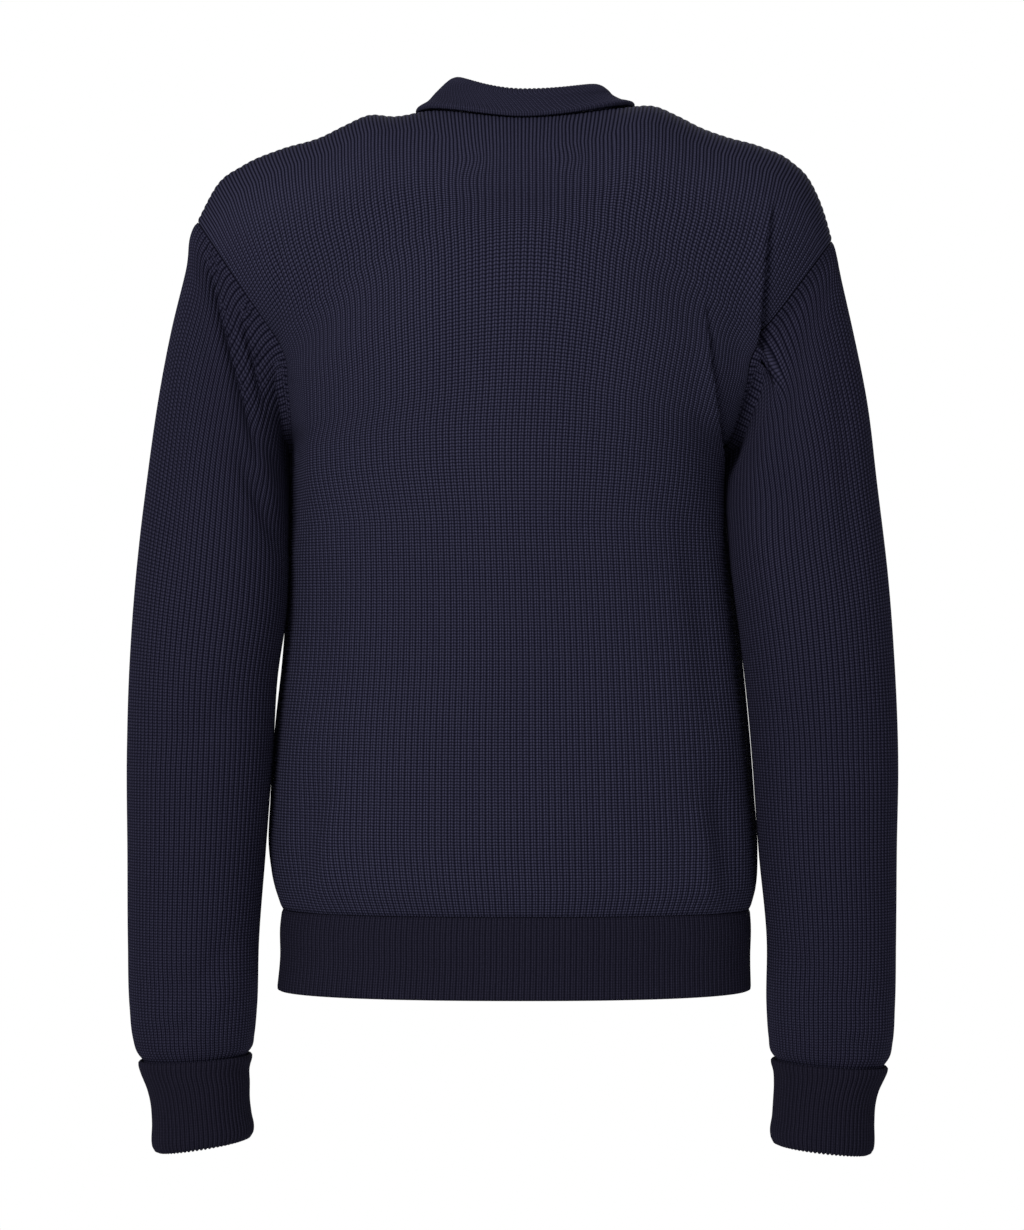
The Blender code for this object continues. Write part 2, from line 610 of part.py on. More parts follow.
def collar():
    """The high neck, turned down on itself: two layers in one wall, with a free edge outside."""
    count = 2 * COLLAR_RIBS
    rim, swell, foot = (collar_ring(line, count) for line in (COLLAR_RIM, COLLAR_SWELL, COLLAR_FOOT))
    neck = neck_edge(count)
    neck_away, away = from_neck(neck), from_neck(rim)
    up = np.array([0, 0, 1.0])
    lip_under = on_shoulders(foot - from_neck(foot) * LIP_TUCK, LIP_CLEAR)
    foot[:, 2] = lip_under[:, 2] + LIP_THICK
    seam_outer = on_shoulders(neck + neck_away * SEAM_OVERLAP, 2 * SEAM_GAP)
    seam_inner = neck - neck_away * (LAYER - SEAM_OVERLAP) + up * 2 * SEAM_GAP
    between = on_shoulders((seam_outer + lip_under) / 2, LIP_CLEAR)
    waist = (foot + swell) / 2 - away * COLLAR_WAIST
    rows = np.array([foot, waist, swell, rim + away * RIM_LEAN - up * RIM_DROP])
    outer = np.concatenate([[seam_outer, between, lip_under], ribbed(rows, turned_out(rows), 0, 0), [rim]])
    inside = rim - away * RIM_THICK - up * RIM_INSIDE_DROP
    inner = np.array([seam_inner, (seam_inner + inside) / 2 - away * INSIDE_BULGE, inside])
    wall("collar", outer, inner[:, ::PLAIN_STEP], True, TRIM_COLOUR)


for old in list(bpy.data.objects):
    bpy.data.objects.remove(old)
garment = bpy.data.collections.new("high_neck_sweater")
bpy.context.scene.collection.children.link(garment)

BODY_COLOUR = (0.022, 0.022, 0.043)
SLEEVE_COLOUR = (0.019, 0.018, 0.036)
TRIM_COLOUR = (0.014, 0.013, 0.026)

UNDERARM = list(column(BODY, "z")).index(UNDERARM_Z)
back_grid, back_normal = panel_face(1)
front_grid, front_normal = panel_face(-1)
share_seams()
panels = panel("back_panel", back_grid, back_normal), panel("front_panel", front_grid, front_normal)
panel_trees = [BVHTree.FromObject(piece, bpy.context.evaluated_depsgraph_get()) for piece in panels]
sleeve("sleeve_left", 1, LEFT_SLEEVE, LEFT_FOLDS)
sleeve("sleeve_right", -1, RIGHT_SLEEVE, RIGHT_FOLDS)
hem_band()
cuff("cuff_left", LEFT_CUFF, LEFT_SLEEVE[-1])
cuff("cuff_right", RIGHT_CUFF, RIGHT_SLEEVE[-1])
collar()
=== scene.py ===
"""The looks of a navy ribbed wool sweater with a turned-down high neck.

Every knitted piece is a thin shell on the form of its solid: the same tables of rings and rows,
with every rib that is knitted, the creases of a worn garment, and stitches painted into the wool's colour as
shade in the grooves and between legs and beads.
X runs to the wearer's left, -Y to the front and Z up. The camera sees the back.
"""

import math
from collections import namedtuple

import bpy
import numpy as np
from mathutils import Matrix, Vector
from mathutils.bvhtree import BVHTree


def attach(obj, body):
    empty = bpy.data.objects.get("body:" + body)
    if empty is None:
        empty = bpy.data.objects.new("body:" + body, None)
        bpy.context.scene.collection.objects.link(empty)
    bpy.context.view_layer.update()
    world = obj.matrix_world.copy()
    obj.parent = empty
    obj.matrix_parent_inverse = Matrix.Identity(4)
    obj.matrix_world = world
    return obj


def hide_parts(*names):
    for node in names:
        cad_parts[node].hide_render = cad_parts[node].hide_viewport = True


# Cloth, in metres
WALL = 0.003
SEAM_GAP = 0.0003
LAYER = 0.0032
SEAM_SINK = 0.0005  # how far the cloth rolls in at a seam
SEAM_ROLL = 0.0028  # and over what width

# Ribs knitted in each piece, and the mesh columns to a rib
PANEL_RIBS = 107
BORDER_RIBS = 4  # that run along each armhole
ENDING_RIBS = 5  # that end one by one behind those, on each side
ENDING_Z = -0.11  # where the last of them ends
SLEEVE_RIBS = 82
HEM_RIBS = 218
CUFF_RIBS = 68
COLLAR_RIBS = 120
RIB_COLUMNS = 4
COURSE = 0.00215  # height of one row of stitches
FINE_COURSE = 0.0019

# Depth of the ribs, from groove to top
PANEL_RELIEF = 0.0009
MIDDLE_RELIEF = 0.0006
SHOULDER_RELIEF = 0.0005
SLEEVE_RELIEF = 0.0009
CRIMPED_RELIEF = 0.0014  # beside the armhole
HEM_RELIEF = 0.0006
CUFF_RELIEF = 0.0012
COLLAR_RELIEF = 0.0007
RIB_ROUNDNESS = 0.75

# Rows and columns of the meshes
PANEL_ROWS = 198
SLEEVE_ROWS = 210
HEM_ROWS = 26
INSIDE_STEP = 4
INSIDE_ROWS = 6
CURVE_STEPS = 480

# Form of the body, as in its solids
SIDE_SQUARENESS = 2.3
ARM_ROUNDNESS = 0.95
SHOULDER_SQUARENESS = 2.4
SHOULDER_Y = -0.004
NECK_HALF_WIDTH = 0.072
NECK_BACK = 0.052
NECK_FRONT = 0.062
SEAM_FORWARD = math.radians(11)
SEAM_EASE = 0.02
SHOULDER_STEPS = (0.22, 0.43, 0.62, 0.8, 0.9, 1.0)
PANEL_WIDTH = 0.48
UNDERARM_Z = -0.243
SEAM_STEP = 0.005
UNDERARM_GAP = 0.0004
UNDERARM_SHARE = 0.25
SIDE_EASE = 0.02
TINY = 1e-12

# Where the ribs lie lower: between two heights, with the fade at each, and how far across
RESTED_ON = (-0.6, -0.2, 0.03, 0.03)  # by the sleeves, at the body's sides
RESTED_WIDTH, RESTED_FADE = 0.014, 0.012
CALM = (-0.42, -0.07, 0.08, 0.06)  # in the middle of the body
CALM_HALF_WIDTH = 0.115
SHOULDER_DEPTH, SHOULDER_FADE = 0.075, 0.06  # below the ridge
RIB_START = 0.004  # how soon the ribs rise past a seam
UNDERARM_FADE = 0.02
SLEEVE_CREASE_START = 0.007
SLEEVE_SEAM_TURN = 0.012
SLEEVE_END_FADE = 0.012
SLEEVE_INNER_SHARE = 0.16  # of its girth, flattened by the body
CRIMP_AT, CRIMP_WIDTH = 0.02, 0.016  # past the armhole
CRIMP_FROM, CRIMP_FADE = 0.2, 0.1  # shares of the girth, from the inner side

# Camera and studio
SENSOR = 36
CAMERA_DISTANCE = 3.0
PHOTO_HEIGHT = 1230
METRES_TO_A_PIXEL = 0.000737
CAMERA_X = 13 * METRES_TO_A_PIXEL
CAMERA_Z = -497 * METRES_TO_A_PIXEL
FLOOR_Z = -1.45
SURROUND_SEEN = 1.0
SURROUND_LIGHT = 0.3
FLOOR_RADIUS, FLOOR_SIDES = 3.2, 96
FLOOR_GREY, FLOOR_ROUGHNESS = 0.93, 0.7
SIGHT = 60
LAMPS = [
    ("key", (1.2, 2.2, 1.1), (0.05, 0, -0.25), 1.2, 42, (1.0, 0.99, 0.97)),
    ("fill", (-1.6, 2.4, 0.3), (0, 0, -0.35), 1.8, 7, (0.97, 0.98, 1.0)),
    ("front_fill", (-0.6, -2.6, 0.9), (0, 0, -0.35), 2.0, 50, (1.0, 1.0, 1.0)),
]

MILLIMETRES = 1000  # to a metre


def table(kind, rows):
    """Rows given in millimetres, kept in metres."""
    return [kind(*(value / MILLIMETRES for value in row)) for row in rows]


def worn(kind, facing, rows):
    """Creases or folds of the back (1) or front (-1), given in millimetres."""
    sizes = len(kind._fields) - 2
    return [
        kind(facing, *(size / MILLIMETRES for size in row[:sizes]), np.array(row[sizes:]) / MILLIMETRES)
        for row in rows
    ]


# One row for each level of the body: its height at the middle, how far it droops at its edges,
# the sides' distance from the middle, the depth behind and before the side line,
# and how far the armhole is cut back from that line.
Level = namedtuple("Level", "z droop left right back front cut")
BODY = table(Level, (
    (-582, 0, 178.8, 165.6, 97, 106, 0),
    (-566, 0, 184.2, 170, 104, 113, 0),
    (-540, 0, 188.6, 171.4, 107, 117, 0),
    (-500, 0, 187.6, 169, 107, 119, 0),
    (-450, 0, 184.4, 165.2, 105, 121, 0),
    (-400, 0, 179, 160.3, 102, 123, 0),
    (-350, 0, 175.5, 154.5, 101, 127, 0),
    (-295, 4, 174, 148, 103, 131, 0),
    (-243, 12, 172.4, 144, 107, 130, 0),
    (-195, 35, 172.2, 150, 109, 125, 33),
    (-140, 60, 173, 157, 107, 114, 47),
    (-85, 88, 176.5, 164, 94, 98, 52),
))

# The top of the shoulders as seen from behind, from the wearer's right to the left.
Ridge = namedtuple("Ridge", "x z")
RIDGE = table(Ridge, (
    (-226.3, -90.6), (-220, -69), (-211, -48.5), (-196, -32.5), (-174, -21.8), (-148, -14.6),
    (-130, -8.2), (-112, 0.8), (-96, 7.5), (-72, 6.5), (0, 6), (72, 4), (96, 0.2), (115, 1.2),
    (132, -6), (150, -14.8), (180, -23.6), (208, -35.6), (227, -50), (241.5, -76.5),
))

# The hem band, by the same measures as the body.
Band = namedtuple("Band", "z left right back front")
HEM = table(Band, (
    (-582.3, 178.5, 165.2, 97, 106),
    (-595, 180, 166, 98, 107),
    (-618, 180, 165.5, 98, 107),
    (-641, 182.2, 166, 99, 108),
))

HEM_INSIDE = [-1, -8, -16, 0]  # rows of the outside that the inside follows
HEM_RIB_START = 0.003
HEM_EDGE_SINK, HEM_EDGE_DROP = 0.6, 0.0006

# One row for each ring of a sleeve or cuff: its outer and inner point as seen from behind,
# half its depth, and how far its middle lies behind the side line.
Ring = namedtuple("Ring", "out_x out_z in_x in_z deep y")
LEFT_SLEEVE = table(Ring, (
    (248.6, -113.5, 173.1, -270, 55, 8),
    (258.4, -156.2, 172.9, -284, 57, 14),
    (267.8, -207.8, 172.8, -302, 57, 19),
    (276.4, -270.5, 172.6, -330, 56, 23),
    (283.6, -336.8, 174.3, -366.5, 54, 26),
    (288.2, -399.5, 180.6, -410.5, 52, 26),
    (290.4, -465.8, 184.1, -465.8, 50, 25),
    (290.4, -539.5, 189.8, -539.5, 48, 21),
    (290.7, -605.8, 195.2, -605.8, 46, 14),
    (290, -654.5, 197, -654.5, 44, 8),
    (288, -677, 199.2, -675, 41.5, 4),
    (285.2, -688, 201.2, -684.5, 39.8, 0),
    (280.8, -694, 204.8, -689.5, 36.8, 0),
    (279.6, -702.4, 205.8, -697.4, 35.8, 0),
))
RIGHT_SLEEVE = table(Ring, (
    (-232.6, -123.8, -146.4, -272, 55, 9),
    (-239.4, -156.2, -146.4, -286, 57, 15),
    (-249.3, -207.8, -147.8, -303.6, 57, 20),
    (-256.6, -270.5, -150, -331.7, 56, 25),
    (-264.2, -336.8, -154.8, -368.5, 54, 28),
    (-269, -399.5, -160.3, -412.7, 52, 28),
    (-271.8, -465.8, -165.3, -465.8, 50, 27),
    (-271.2, -539.5, -170.8, -539.5, 48, 23),
    (-271.3, -605.8, -177.2, -605.8, 46, 16),
    (-271.2, -653, -177.4, -653, 44, 9),
    (-270, -680, -179.3, -677, 41.5, 4),
    (-267.8, -692, -181.2, -688, 39.8, 0),
    (-263.4, -698.5, -185, -693.5, 36.8, 0),
    (-261.6, -707, -186.2, -701.5, 35.8, 0),
))
CUFF_THICK = 0.0067
CUFF_ROWS = 34
CUFF_INSIDE = [-1, -12, -24]  # rows of the outside that the inside follows
CUFF_OPENED = 0.3
CUFF_LIP, CUFF_LIP_ROUND, CUFF_CROWN = 0.004, 0.0008, 0.0009  # the width of its free edge, and its rounding
CUFF_FOOT, CUFF_FOOT_ROUND = 0.005, 0.0012
LEFT_CUFF = table(Ring, (
    (285, -695.5, 200.8, -690.5, 41, 0),
    (282.6, -703, 203.4, -698.7, 39.5, 0),
    (277.8, -715, 203.4, -710.5, 38, 0),
    (275.2, -726, 203.4, -722.3, 37.2, 0),
    (274.2, -740, 202.2, -733, 37, 0),
    (274.4, -755, 200.4, -745, 37.2, 0),
    (273.2, -761, 201.8, -751, 36, 0),
))
RIGHT_CUFF = table(Ring, (
    (-267.6, -700.2, -181, -694.3, 41, 0),
    (-264.2, -707.5, -183.4, -701.6, 39.5, 0),
    (-260.2, -716, -184, -711.9, 38, 0),
    (-257.6, -726.5, -183.4, -723.7, 37.2, 0),
    (-256.8, -740, -182.6, -735.5, 37, 0),
    (-256.8, -756, -181.2, -747.5, 37.2, 0),
    (-255.6, -762.5, -182.4, -755, 36, 0),
))

# The turned-down collar: for its left side, back, right side and front, the distance from
# the neck's middle and the height of each line that runs round it. The foot lies on the shoulders.
Line = namedtuple("Line", "left back right front left_z back_z right_z front_z")
NECK_MIDDLE_Y = -0.009
SEAM_OVERLAP = 0.0014
LIP_CLEAR = 0.0009
LIP_THICK = 0.003
LIP_TUCK = 0.001  # how far the free edge's underside lies in
COLLAR_WAIST = 0.0012  # how far the collar draws in above that edge
RIM_ROUND = ((0.0078, 0.0034), (0.004, 0.0008))  # out from the rim and down, on its rounded outside
RIB_TURN, RIB_TURN_AT, RIB_TURN_REACH = 0.053, 0.12, 0.24  # how the rim's ribs lie turned, in shares
SWELL_TURN = 0.55  # of the rim's
RIM_THICK, RIM_INSIDE_DROP = 0.0038, 0.004  # and its inside
INSIDE_BULGE = 0.0005
LIP_SHARE, LIP_NOSE = 0.75, 0.0007
COLLAR_ROWS = 40
COLLAR_COURSE = 0.0021
COLLAR_OPENED = 0.5
COLLAR_FADES = (0.002, 0.003)  # of its ribs, at the free edge and inside
ABOVE_NECK = 0.1  # from where the shoulders are looked down on
HIGHEST_OF, EVEN_OVER = 5, 7  # columns each way that a line laid on them spans
COLLAR_RIM, COLLAR_SWELL, COLLAR_FOOT = table(Line, (
    (50, 50, 53, 48, 30.3, 16.2, 24.8, 4),
    (66, 61, 66, 64, 19, 7, 16.5, -6),
    (80.5, 66.5, 81, 70, 0, 0, 0, 0),
))

# Soft troughs (negative depth) and ridges of the worn cloth, by width, depth and a path of x, z
# points as seen from behind, and folds laid over, by width, rise, drop and path.
Crease = namedtuple("Crease", "facing width depth path")
Fold = namedtuple("Fold", "facing width rise drop path")
TURN_ROUND = 0.014  # how gently a crease ends at the piece's side
PATH_STEPS = 48
CREASE_REACH = 3  # widths to each side
ENDS_OFF, ENDS_FULLNESS = 0.06, 0.7  # how a crease fades at its ends
FOLD_EDGE = 0.004
BODY_CREASES = worn(Fold, 1, (
    (8.5, 5.2, 7, (-177.5, -76), (-172.8, -110), (-171, -134), (-169, -160), (-163.5, -184),
     (-157, -216), (-150, -248)),
    (8, 4.2, 5.8, (-130, -150), (-133.4, -185), (-137.1, -213), (-141.8, -243), (-145.5, -270),
     (-147, -310)),
)) + worn(Crease, 1, (
    (4.8, -2.4, (179, -75), (178.3, -105), (177.6, -140), (176.6, -168)),
    (12, -3.5, (-118, -300), (-129, -370), (-137, -440)),
    (4.5, -2.8, (170.5, -258), (171.2, -290), (172.2, -330), (173.2, -370), (177, -410), (181.2, -450),
     (184.5, -490), (187, -550)),
    (5, -4.6, (-144.2, -268), (-145.3, -286), (-147, -305), (-150, -340), (-155.5, -390), (-161, -440),
     (-165.5, -490), (-170, -560)),
    (8, -3, (169, -185), (167.2, -220), (166.8, -265), (165, -310)),
    (9, 2.4, (156, -190), (153, -240), (152, -290)),
    (13, -3, (144, -330), (150, -400), (156, -450)),
    (12, -5.5, (150, -480), (159, -525), (164, -565)),
    (10, 3, (133, -500), (140, -540), (144, -572)),
    (12, -5.5, (-138, -485), (-146, -530), (-150, -565)),
    (10, 3, (-123, -505), (-130, -545), (-133, -572)),
    (22, -2.5, (45, -120), (42, -220), (50, -320)),
    (25, -2.2, (-50, -150), (-47, -260), (-40, -360)),
)) + worn(Crease, -1, (
    (5, 2.8, (172.8, -262), (173.2, -285), (174.2, -325)),
    (5, 3.2, (-144.2, -252), (-147.2, -285), (-150.8, -325)),
    (10, -7.5, (164, -140), (157, -190), (150, -250)),
    (8, 3.5, (148, -150), (142, -200), (136, -255)),
    (10, -7, (-152, -135), (-145, -185), (-136, -250)),
    (8, 3.5, (-137, -150), (-130, -200), (-124, -250)),
    (15, -4.5, (105, -245), (130, -290), (152, -340)),
    (15, -4.5, (-92, -250), (-112, -300), (-129, -350)),
    (24, -3, (30, -200), (48, -300), (42, -400)),
    (22, -2.8, (-60, -180), (-45, -280), (-52, -360)),
    (13, -5, (142, -470), (156, -520), (162, -565)),
    (13, -5, (-129, -480), (-141, -525), (-147, -565)),
))
LEFT_CREASES = worn(Crease, 1, (
    (3.6, -5, (232.9, -92), (224, -128), (215.9, -156), (211.5, -175), (206, -195), (199, -222),
     (194, -252)),
    (5, 1.8, (239, -105), (230, -140), (222, -172), (216, -198), (208, -232)),
    (3.4, -4, (203.4, -152), (198.3, -173), (193.8, -190), (189.5, -212)),
    (3, 1.8, (209.5, -150), (204.5, -170), (199.5, -190), (195, -208)),
    (2.6, -2, (196, -172), (191.5, -180), (188, -186)),
    (2.6, -1.8, (206, -138), (201, -146), (196, -152)),
    (6, -3.4, (206, -252), (195, -276), (185, -300), (178.5, -318)),
    (6, 1.8, (198, -236), (189, -262), (180, -288)),
    (12, -3, (250, -215), (256, -280), (254, -340)),
    (16, -3, (208, -420), (230, -450), (260, -455)),
    (12, -3.2, (212, -600), (235, -632), (268, -640)),
    (8.5, -2.6, (235, -650), (248, -668), (272, -672)),
    (8, 2, (215, -635), (232, -655), (250, -660)),
)) + worn(Crease, -1, (
    (12, -5.5, (200, -380), (235, -365), (268, -345)),
    (11, -4, (200, -415), (230, -405), (260, -395)),
    (8, -4.5, (218, -135), (208, -180), (198, -230)),
    (12, -4.5, (215, -600), (242, -590), (265, -570)),
    (9, -3, (220, -650), (245, -655), (270, -645)),
))
RIGHT_CREASES = worn(Crease, 1, (
    (9.5, -2.6, (-174, -182), (-169, -200), (-162.5, -218), (-156, -248), (-152, -275)),
    (8, -3, (-199, -150), (-194, -180), (-188, -215), (-184, -262)),
    (9, -2.6, (-222, -150), (-229, -220), (-233, -290), (-234, -350)),
    (11, -3.4, (-176, -270), (-200, -310), (-225, -330)),
    (9, 2.2, (-164, -290), (-176, -330), (-184, -380)),
    (16, -3, (-188, -440), (-210, -465), (-240, -470)),
    (12, -3.2, (-196, -610), (-220, -640), (-250, -652)),
    (8.5, -2.6, (-215, -660), (-230, -676), (-252, -682)),
)) + worn(Crease, -1, (
    (12, -5.5, (-185, -390), (-218, -372), (-250, -350)),
    (11, -4, (-188, -425), (-212, -415), (-242, -405)),
    (8, -4.5, (-202, -135), (-193, -180), (-183, -230)),
    (12, -4.5, (-200, -610), (-226, -600), (-250, -580)),
    (9, -3, (-204, -660), (-228, -665), (-252, -655)),
))

# How much closer the ribs lie at the sides than in the middle, at each height
PACKING_Z = (-0.6, -0.3, -0.19, -0.08, -0.03, 0.03)
PACKING = (0.03, 0.04, 0.16, 0.19, 0.02, 0.00)

# Where the ribs bend aside below the neck seam
Bend = namedtuple("Bend", "facing wide tall shift path")
BENDS = worn(Bend, 1, (
    (12, 9, -2, (39.7, -40)),
    (10, 10, 1, (39.7, -55)),
    (11, 9, -2, (-31.7, -39)),
    (10, 9, 1.2, (-31.7, -12)),
)) + worn(Bend, -1, (
    (12, 14, 1.8, (28, -62)),
    (12, 14, -1.8, (-42, -58)),
))

# The wool's colour on the tops of the ribs, the painted shade in the grooves, and how strongly shade is
# painted between a stitch's legs, between its beads and in the grooves
Wool = namedtuple("Wool", "name slot groove top split stitch depth")
BODY_WOOL = Wool(
    "body_wool", "body_knit", (0.002, 0.002, 0.0065), (0.08, 0.079, 0.145), 0.95, 0.88, 0.95)
# The same navy wool as the body with darker tops: painted shade for the light falling off on the sleeves
SHADED_SLEEVE_WOOL = Wool(
    "sleeve_wool_shaded", "sleeve_knit", (0.002, 0.002, 0.0065), (0.0605, 0.0585, 0.1085), 0.86, 0.82, 1)
HEM_WOOL = Wool(
    "hem_wool", "trim_knit", (0.0024, 0.0023, 0.0062), (0.0345, 0.0325, 0.059), 0.88, 0.45, 0.9)
CUFF_WOOL = Wool(
    "cuff_wool", "trim_knit", (0.0022, 0.0021, 0.0058), (0.031, 0.029, 0.0515), 0.75, 0.45, 0.95)
COLLAR_WOOL = Wool(
    "collar_wool", "trim_knit", (0.0044, 0.0043, 0.01), (0.056, 0.055, 0.102), 0.85, 0.65, 0.85)
LEG_SLANT = 0.5  # how far a stitch's legs lean, in courses
RIB_EDGE, LEG_EDGE, BEAD_EDGE = 1.1, 1.3, 1.3  # how narrowly a rib, its legs and its beads catch light
OPEN_STITCH, OPEN_SHADE, OPEN_GROOVE = 0.75, 0.3, 0.25  # what opened ribs lose of each
FIBRE_SCALE, PATCH_SCALE = 900, 9
FIBRE_SHADE, PATCH_SHADE = (0.62, 0.76), (0.9, 0.2)  # the least shade, and what the noise adds
FIBRE_BUMP, BUMP_STRENGTH, BUMP_DISTANCE = 0.25, 0.6, 0.0008
MATT_WOOL = (
    ("Roughness", 0.92), ("Specular IOR Level", 0.02), ("Sheen Weight", 0.006),
    ("Sheen Roughness", 0.6), ("Sheen Tint", (0.55, 0.55, 0.75, 1)),
)

Form = namedtuple("Form", "grid normal run ended")
panel_forms = {}  # by facing


def column(rows, name):
    return np.array([getattr(row, name) for row in rows])


def curve(keys, values, at):
    """Values on a smooth curve through a table's rows."""
    keys, values, at = (np.asarray(a, float) for a in (keys, values, at))
    slope = np.gradient(values, keys, axis=0)
    i = np.clip(np.searchsorted(keys, at) - 1, 0, len(keys) - 2)
    step = keys[i + 1] - keys[i]
    t = np.clip((at - keys[i]) / step, 0, 1)
    tail = (1,) * (values.ndim - 1)
    t, step = t.reshape(t.shape + tail), step.reshape(step.shape + tail)
    start = values[i] * (2 * t**3 - 3 * t**2 + 1) + slope[i] * step * (t**3 - 2 * t**2 + t)
    return start + values[i + 1] * (3 * t**2 - 2 * t**3) + slope[i + 1] * step * (t**3 - t**2)


def lengths(line):
    """How far along a line each of its points lies."""
    return np.concatenate([[0.0], np.cumsum(np.linalg.norm(np.diff(line, axis=0), axis=1))])


def read_at(values, run, at):
    """Rows of values read off at places on their run."""
    return np.stack([np.interp(at, run, values[:, k]) for k in range(values.shape[1])], axis=1)


def evenly(line, shares):
    """Points at the given shares of a line's length."""
    run = lengths(line)
    return read_at(line, run, shares * run[-1])


def power(base, exponent):
    return np.sign(base) * np.abs(base) ** exponent


def body_level(z):
    return {name: curve(column(BODY, "z"), column(BODY, name), z) for name in Level._fields[1:]}


def side_angle(side, depth, cut):
    """The widest ellipse through a cut edge, and the angle at which it is cut."""
    n = SIDE_SQUARENESS
    widest = side / (1 - (cut / depth) ** n) ** (1 / n)
    return widest, math.asin(min(1.0, (side / widest) ** (n / 2)))


def half_outline(left, right, depth, left_angle=math.pi / 2, right_angle=math.pi / 2):
    """Half a level as seen from above, from the wearer's right edge to the left edge."""
    angle = np.linspace(-right_angle, left_angle, CURVE_STEPS + 1)
    x = np.where(angle < 0, right, left) * power(np.sin(angle), 2 / SIDE_SQUARENESS)
    return x, depth * np.cos(angle).clip(0) ** (2 / SIDE_SQUARENESS)


def body_row(z, shares, facing):
    """One level of a panel, from the wearer's right edge (0) to the left edge (1)."""
    at = body_level(z)
    depth = at["back"] if facing > 0 else at["front"]
    cut = max(0.0, float(at["cut"]))
    right, right_angle = side_angle(at["right"], depth, cut)
    left, left_angle = side_angle(at["left"], depth, cut)
    x, y = half_outline(left, right, facing * depth, left_angle, right_angle)
    edge = np.where(x < 0, at["right"], at["left"])
    return evenly(np.stack([x, y, z - at["droop"] * np.abs(x / edge) ** 2], axis=1), shares)


def ridge_height(x):
    return curve(column(RIDGE, "x"), column(RIDGE, "z"), x)


def shoulder_columns(shares):
    """Where each column starts its way over the shoulder, behind and in front, and its top."""
    behind, before = body_row(BODY[-1].z, shares, 1), body_row(BODY[-1].z, shares, -1)
    line = np.linspace(RIDGE[0].x, RIDGE[-1].x, CURVE_STEPS + 1)
    run = lengths(np.stack([line, ridge_height(line)], axis=1))
    middle = np.interp(behind[len(behind) // 2, 0], line, run)
    across = 2 * shares - 1
    top_x = np.interp(middle + np.where(across < 0, middle, run[-1] - middle) * across, run, line)
    top = np.stack([top_x, np.full_like(top_x, SHOULDER_Y), ridge_height(top_x)], axis=1)
    return behind, before, top


def over_shoulder(base, top, angle):
    """A point of each column, from its base (0) to the ridge (a right angle)."""
    lift = power(np.sin(angle), 2 / SHOULDER_SQUARENESS)[:, None]
    turn = power(np.cos(angle), 2 / SHOULDER_SQUARENESS)[:, None]
    out = base + (top - base) * lift
    out[:, 1] = (SHOULDER_Y + (base - top) * turn)[:, 1]
    return out


def shoulder_rows(shares, facing):
    """Rows from a panel's top level over the shoulder to its seam and neck edge."""
    behind, before, top = shoulder_columns(shares)
    base = behind if facing > 0 else before
    neck = np.clip(1 - (top[:, 0] / NECK_HALF_WIDTH) ** 2, 0, 1) ** 0.5
    reach = neck * (NECK_BACK if facing > 0 else NECK_FRONT)
    deep = np.maximum(np.abs(base[:, 1] - SHOULDER_Y), TINY)
    end = np.arccos(np.clip(reach / deep, 0, 1) ** (SHOULDER_SQUARENESS / 2))
    past = smooth((np.abs(top[:, 0]) - NECK_HALF_WIDTH) / SEAM_EASE)
    end = end + past * (facing * SEAM_FORWARD - SEAM_GAP / 2 / deep)
    rows = []
    for step in SHOULDER_STEPS:
        angle = step * end
        on_base_side = over_shoulder(base, top, np.minimum(angle, math.pi / 2))
        past_ridge = over_shoulder(before, top, np.minimum(math.pi - angle, math.pi / 2))
        rows.append(np.where(angle[:, None] > math.pi / 2, past_ridge, on_base_side))
    return rows


def dense(keys, rows, count):
    """A form's few rings or rows, joined by smooth curves and cut into many."""
    at = np.linspace(keys[0], keys[-1], count)
    return curve(keys, rows, at), at


def run_of(rows):
    """How far along the piece each ring or row lies, on average."""
    steps = np.linalg.norm(np.diff(rows, axis=0), axis=2).mean(axis=1)
    return np.concatenate([[0.0], np.cumsum(steps)])


def unit(directions):
    return directions / np.maximum(np.linalg.norm(directions, axis=-1, keepdims=True), TINY)


def smooth(value):
    """0 below 0, 1 above 1, and an even slope between."""
    t = np.clip(value, 0, 1)
    return t * t * (3 - 2 * t)


def within(value, low, high, low_fade, high_fade):
    return smooth((value - low) / low_fade) * smooth((high - value) / high_fade)


def normals_of(grid, closed):
    if closed:
        around = np.roll(grid, -1, axis=1) - np.roll(grid, 1, axis=1)
    else:
        around = np.gradient(grid, axis=1)
    return unit(np.cross(around, np.gradient(grid, axis=0)))


def facing_out(grid, normal, middle):
    return normal if ((grid - middle) * normal).sum() > 0 else -normal


def beside(grid, line, reach, facing, middle_y):
    """The points near a line, how far each lies past it, and how fully the crease holds there."""
    seen = grid[:, :, [0, 2]]
    near = ((seen > line.min(axis=0) - reach) & (seen < line.max(axis=0) + reach)).all(axis=2)
    near &= facing * (grid[:, :, 1] - middle_y) > 0
    offset = seen[near][:, None] - line[None]
    gaps = np.linalg.norm(offset, axis=2)
    closest = gaps.argmin(axis=1)
    way, offset = np.gradient(line, axis=0)[closest], offset[np.arange(len(closest)), closest]
    side = np.sign(way[:, 0] * offset[:, 1] - way[:, 1] * offset[:, 0])
    place = closest / (len(line) - 1)
    holds = np.sin(np.pi * (ENDS_OFF + (1 - 2 * ENDS_OFF) * place)) ** ENDS_FULLNESS
    holds = holds * smooth(facing * (grid[:, :, 1][near] - middle_y) / TURN_ROUND)
    return near, side * gaps.min(axis=1), holds


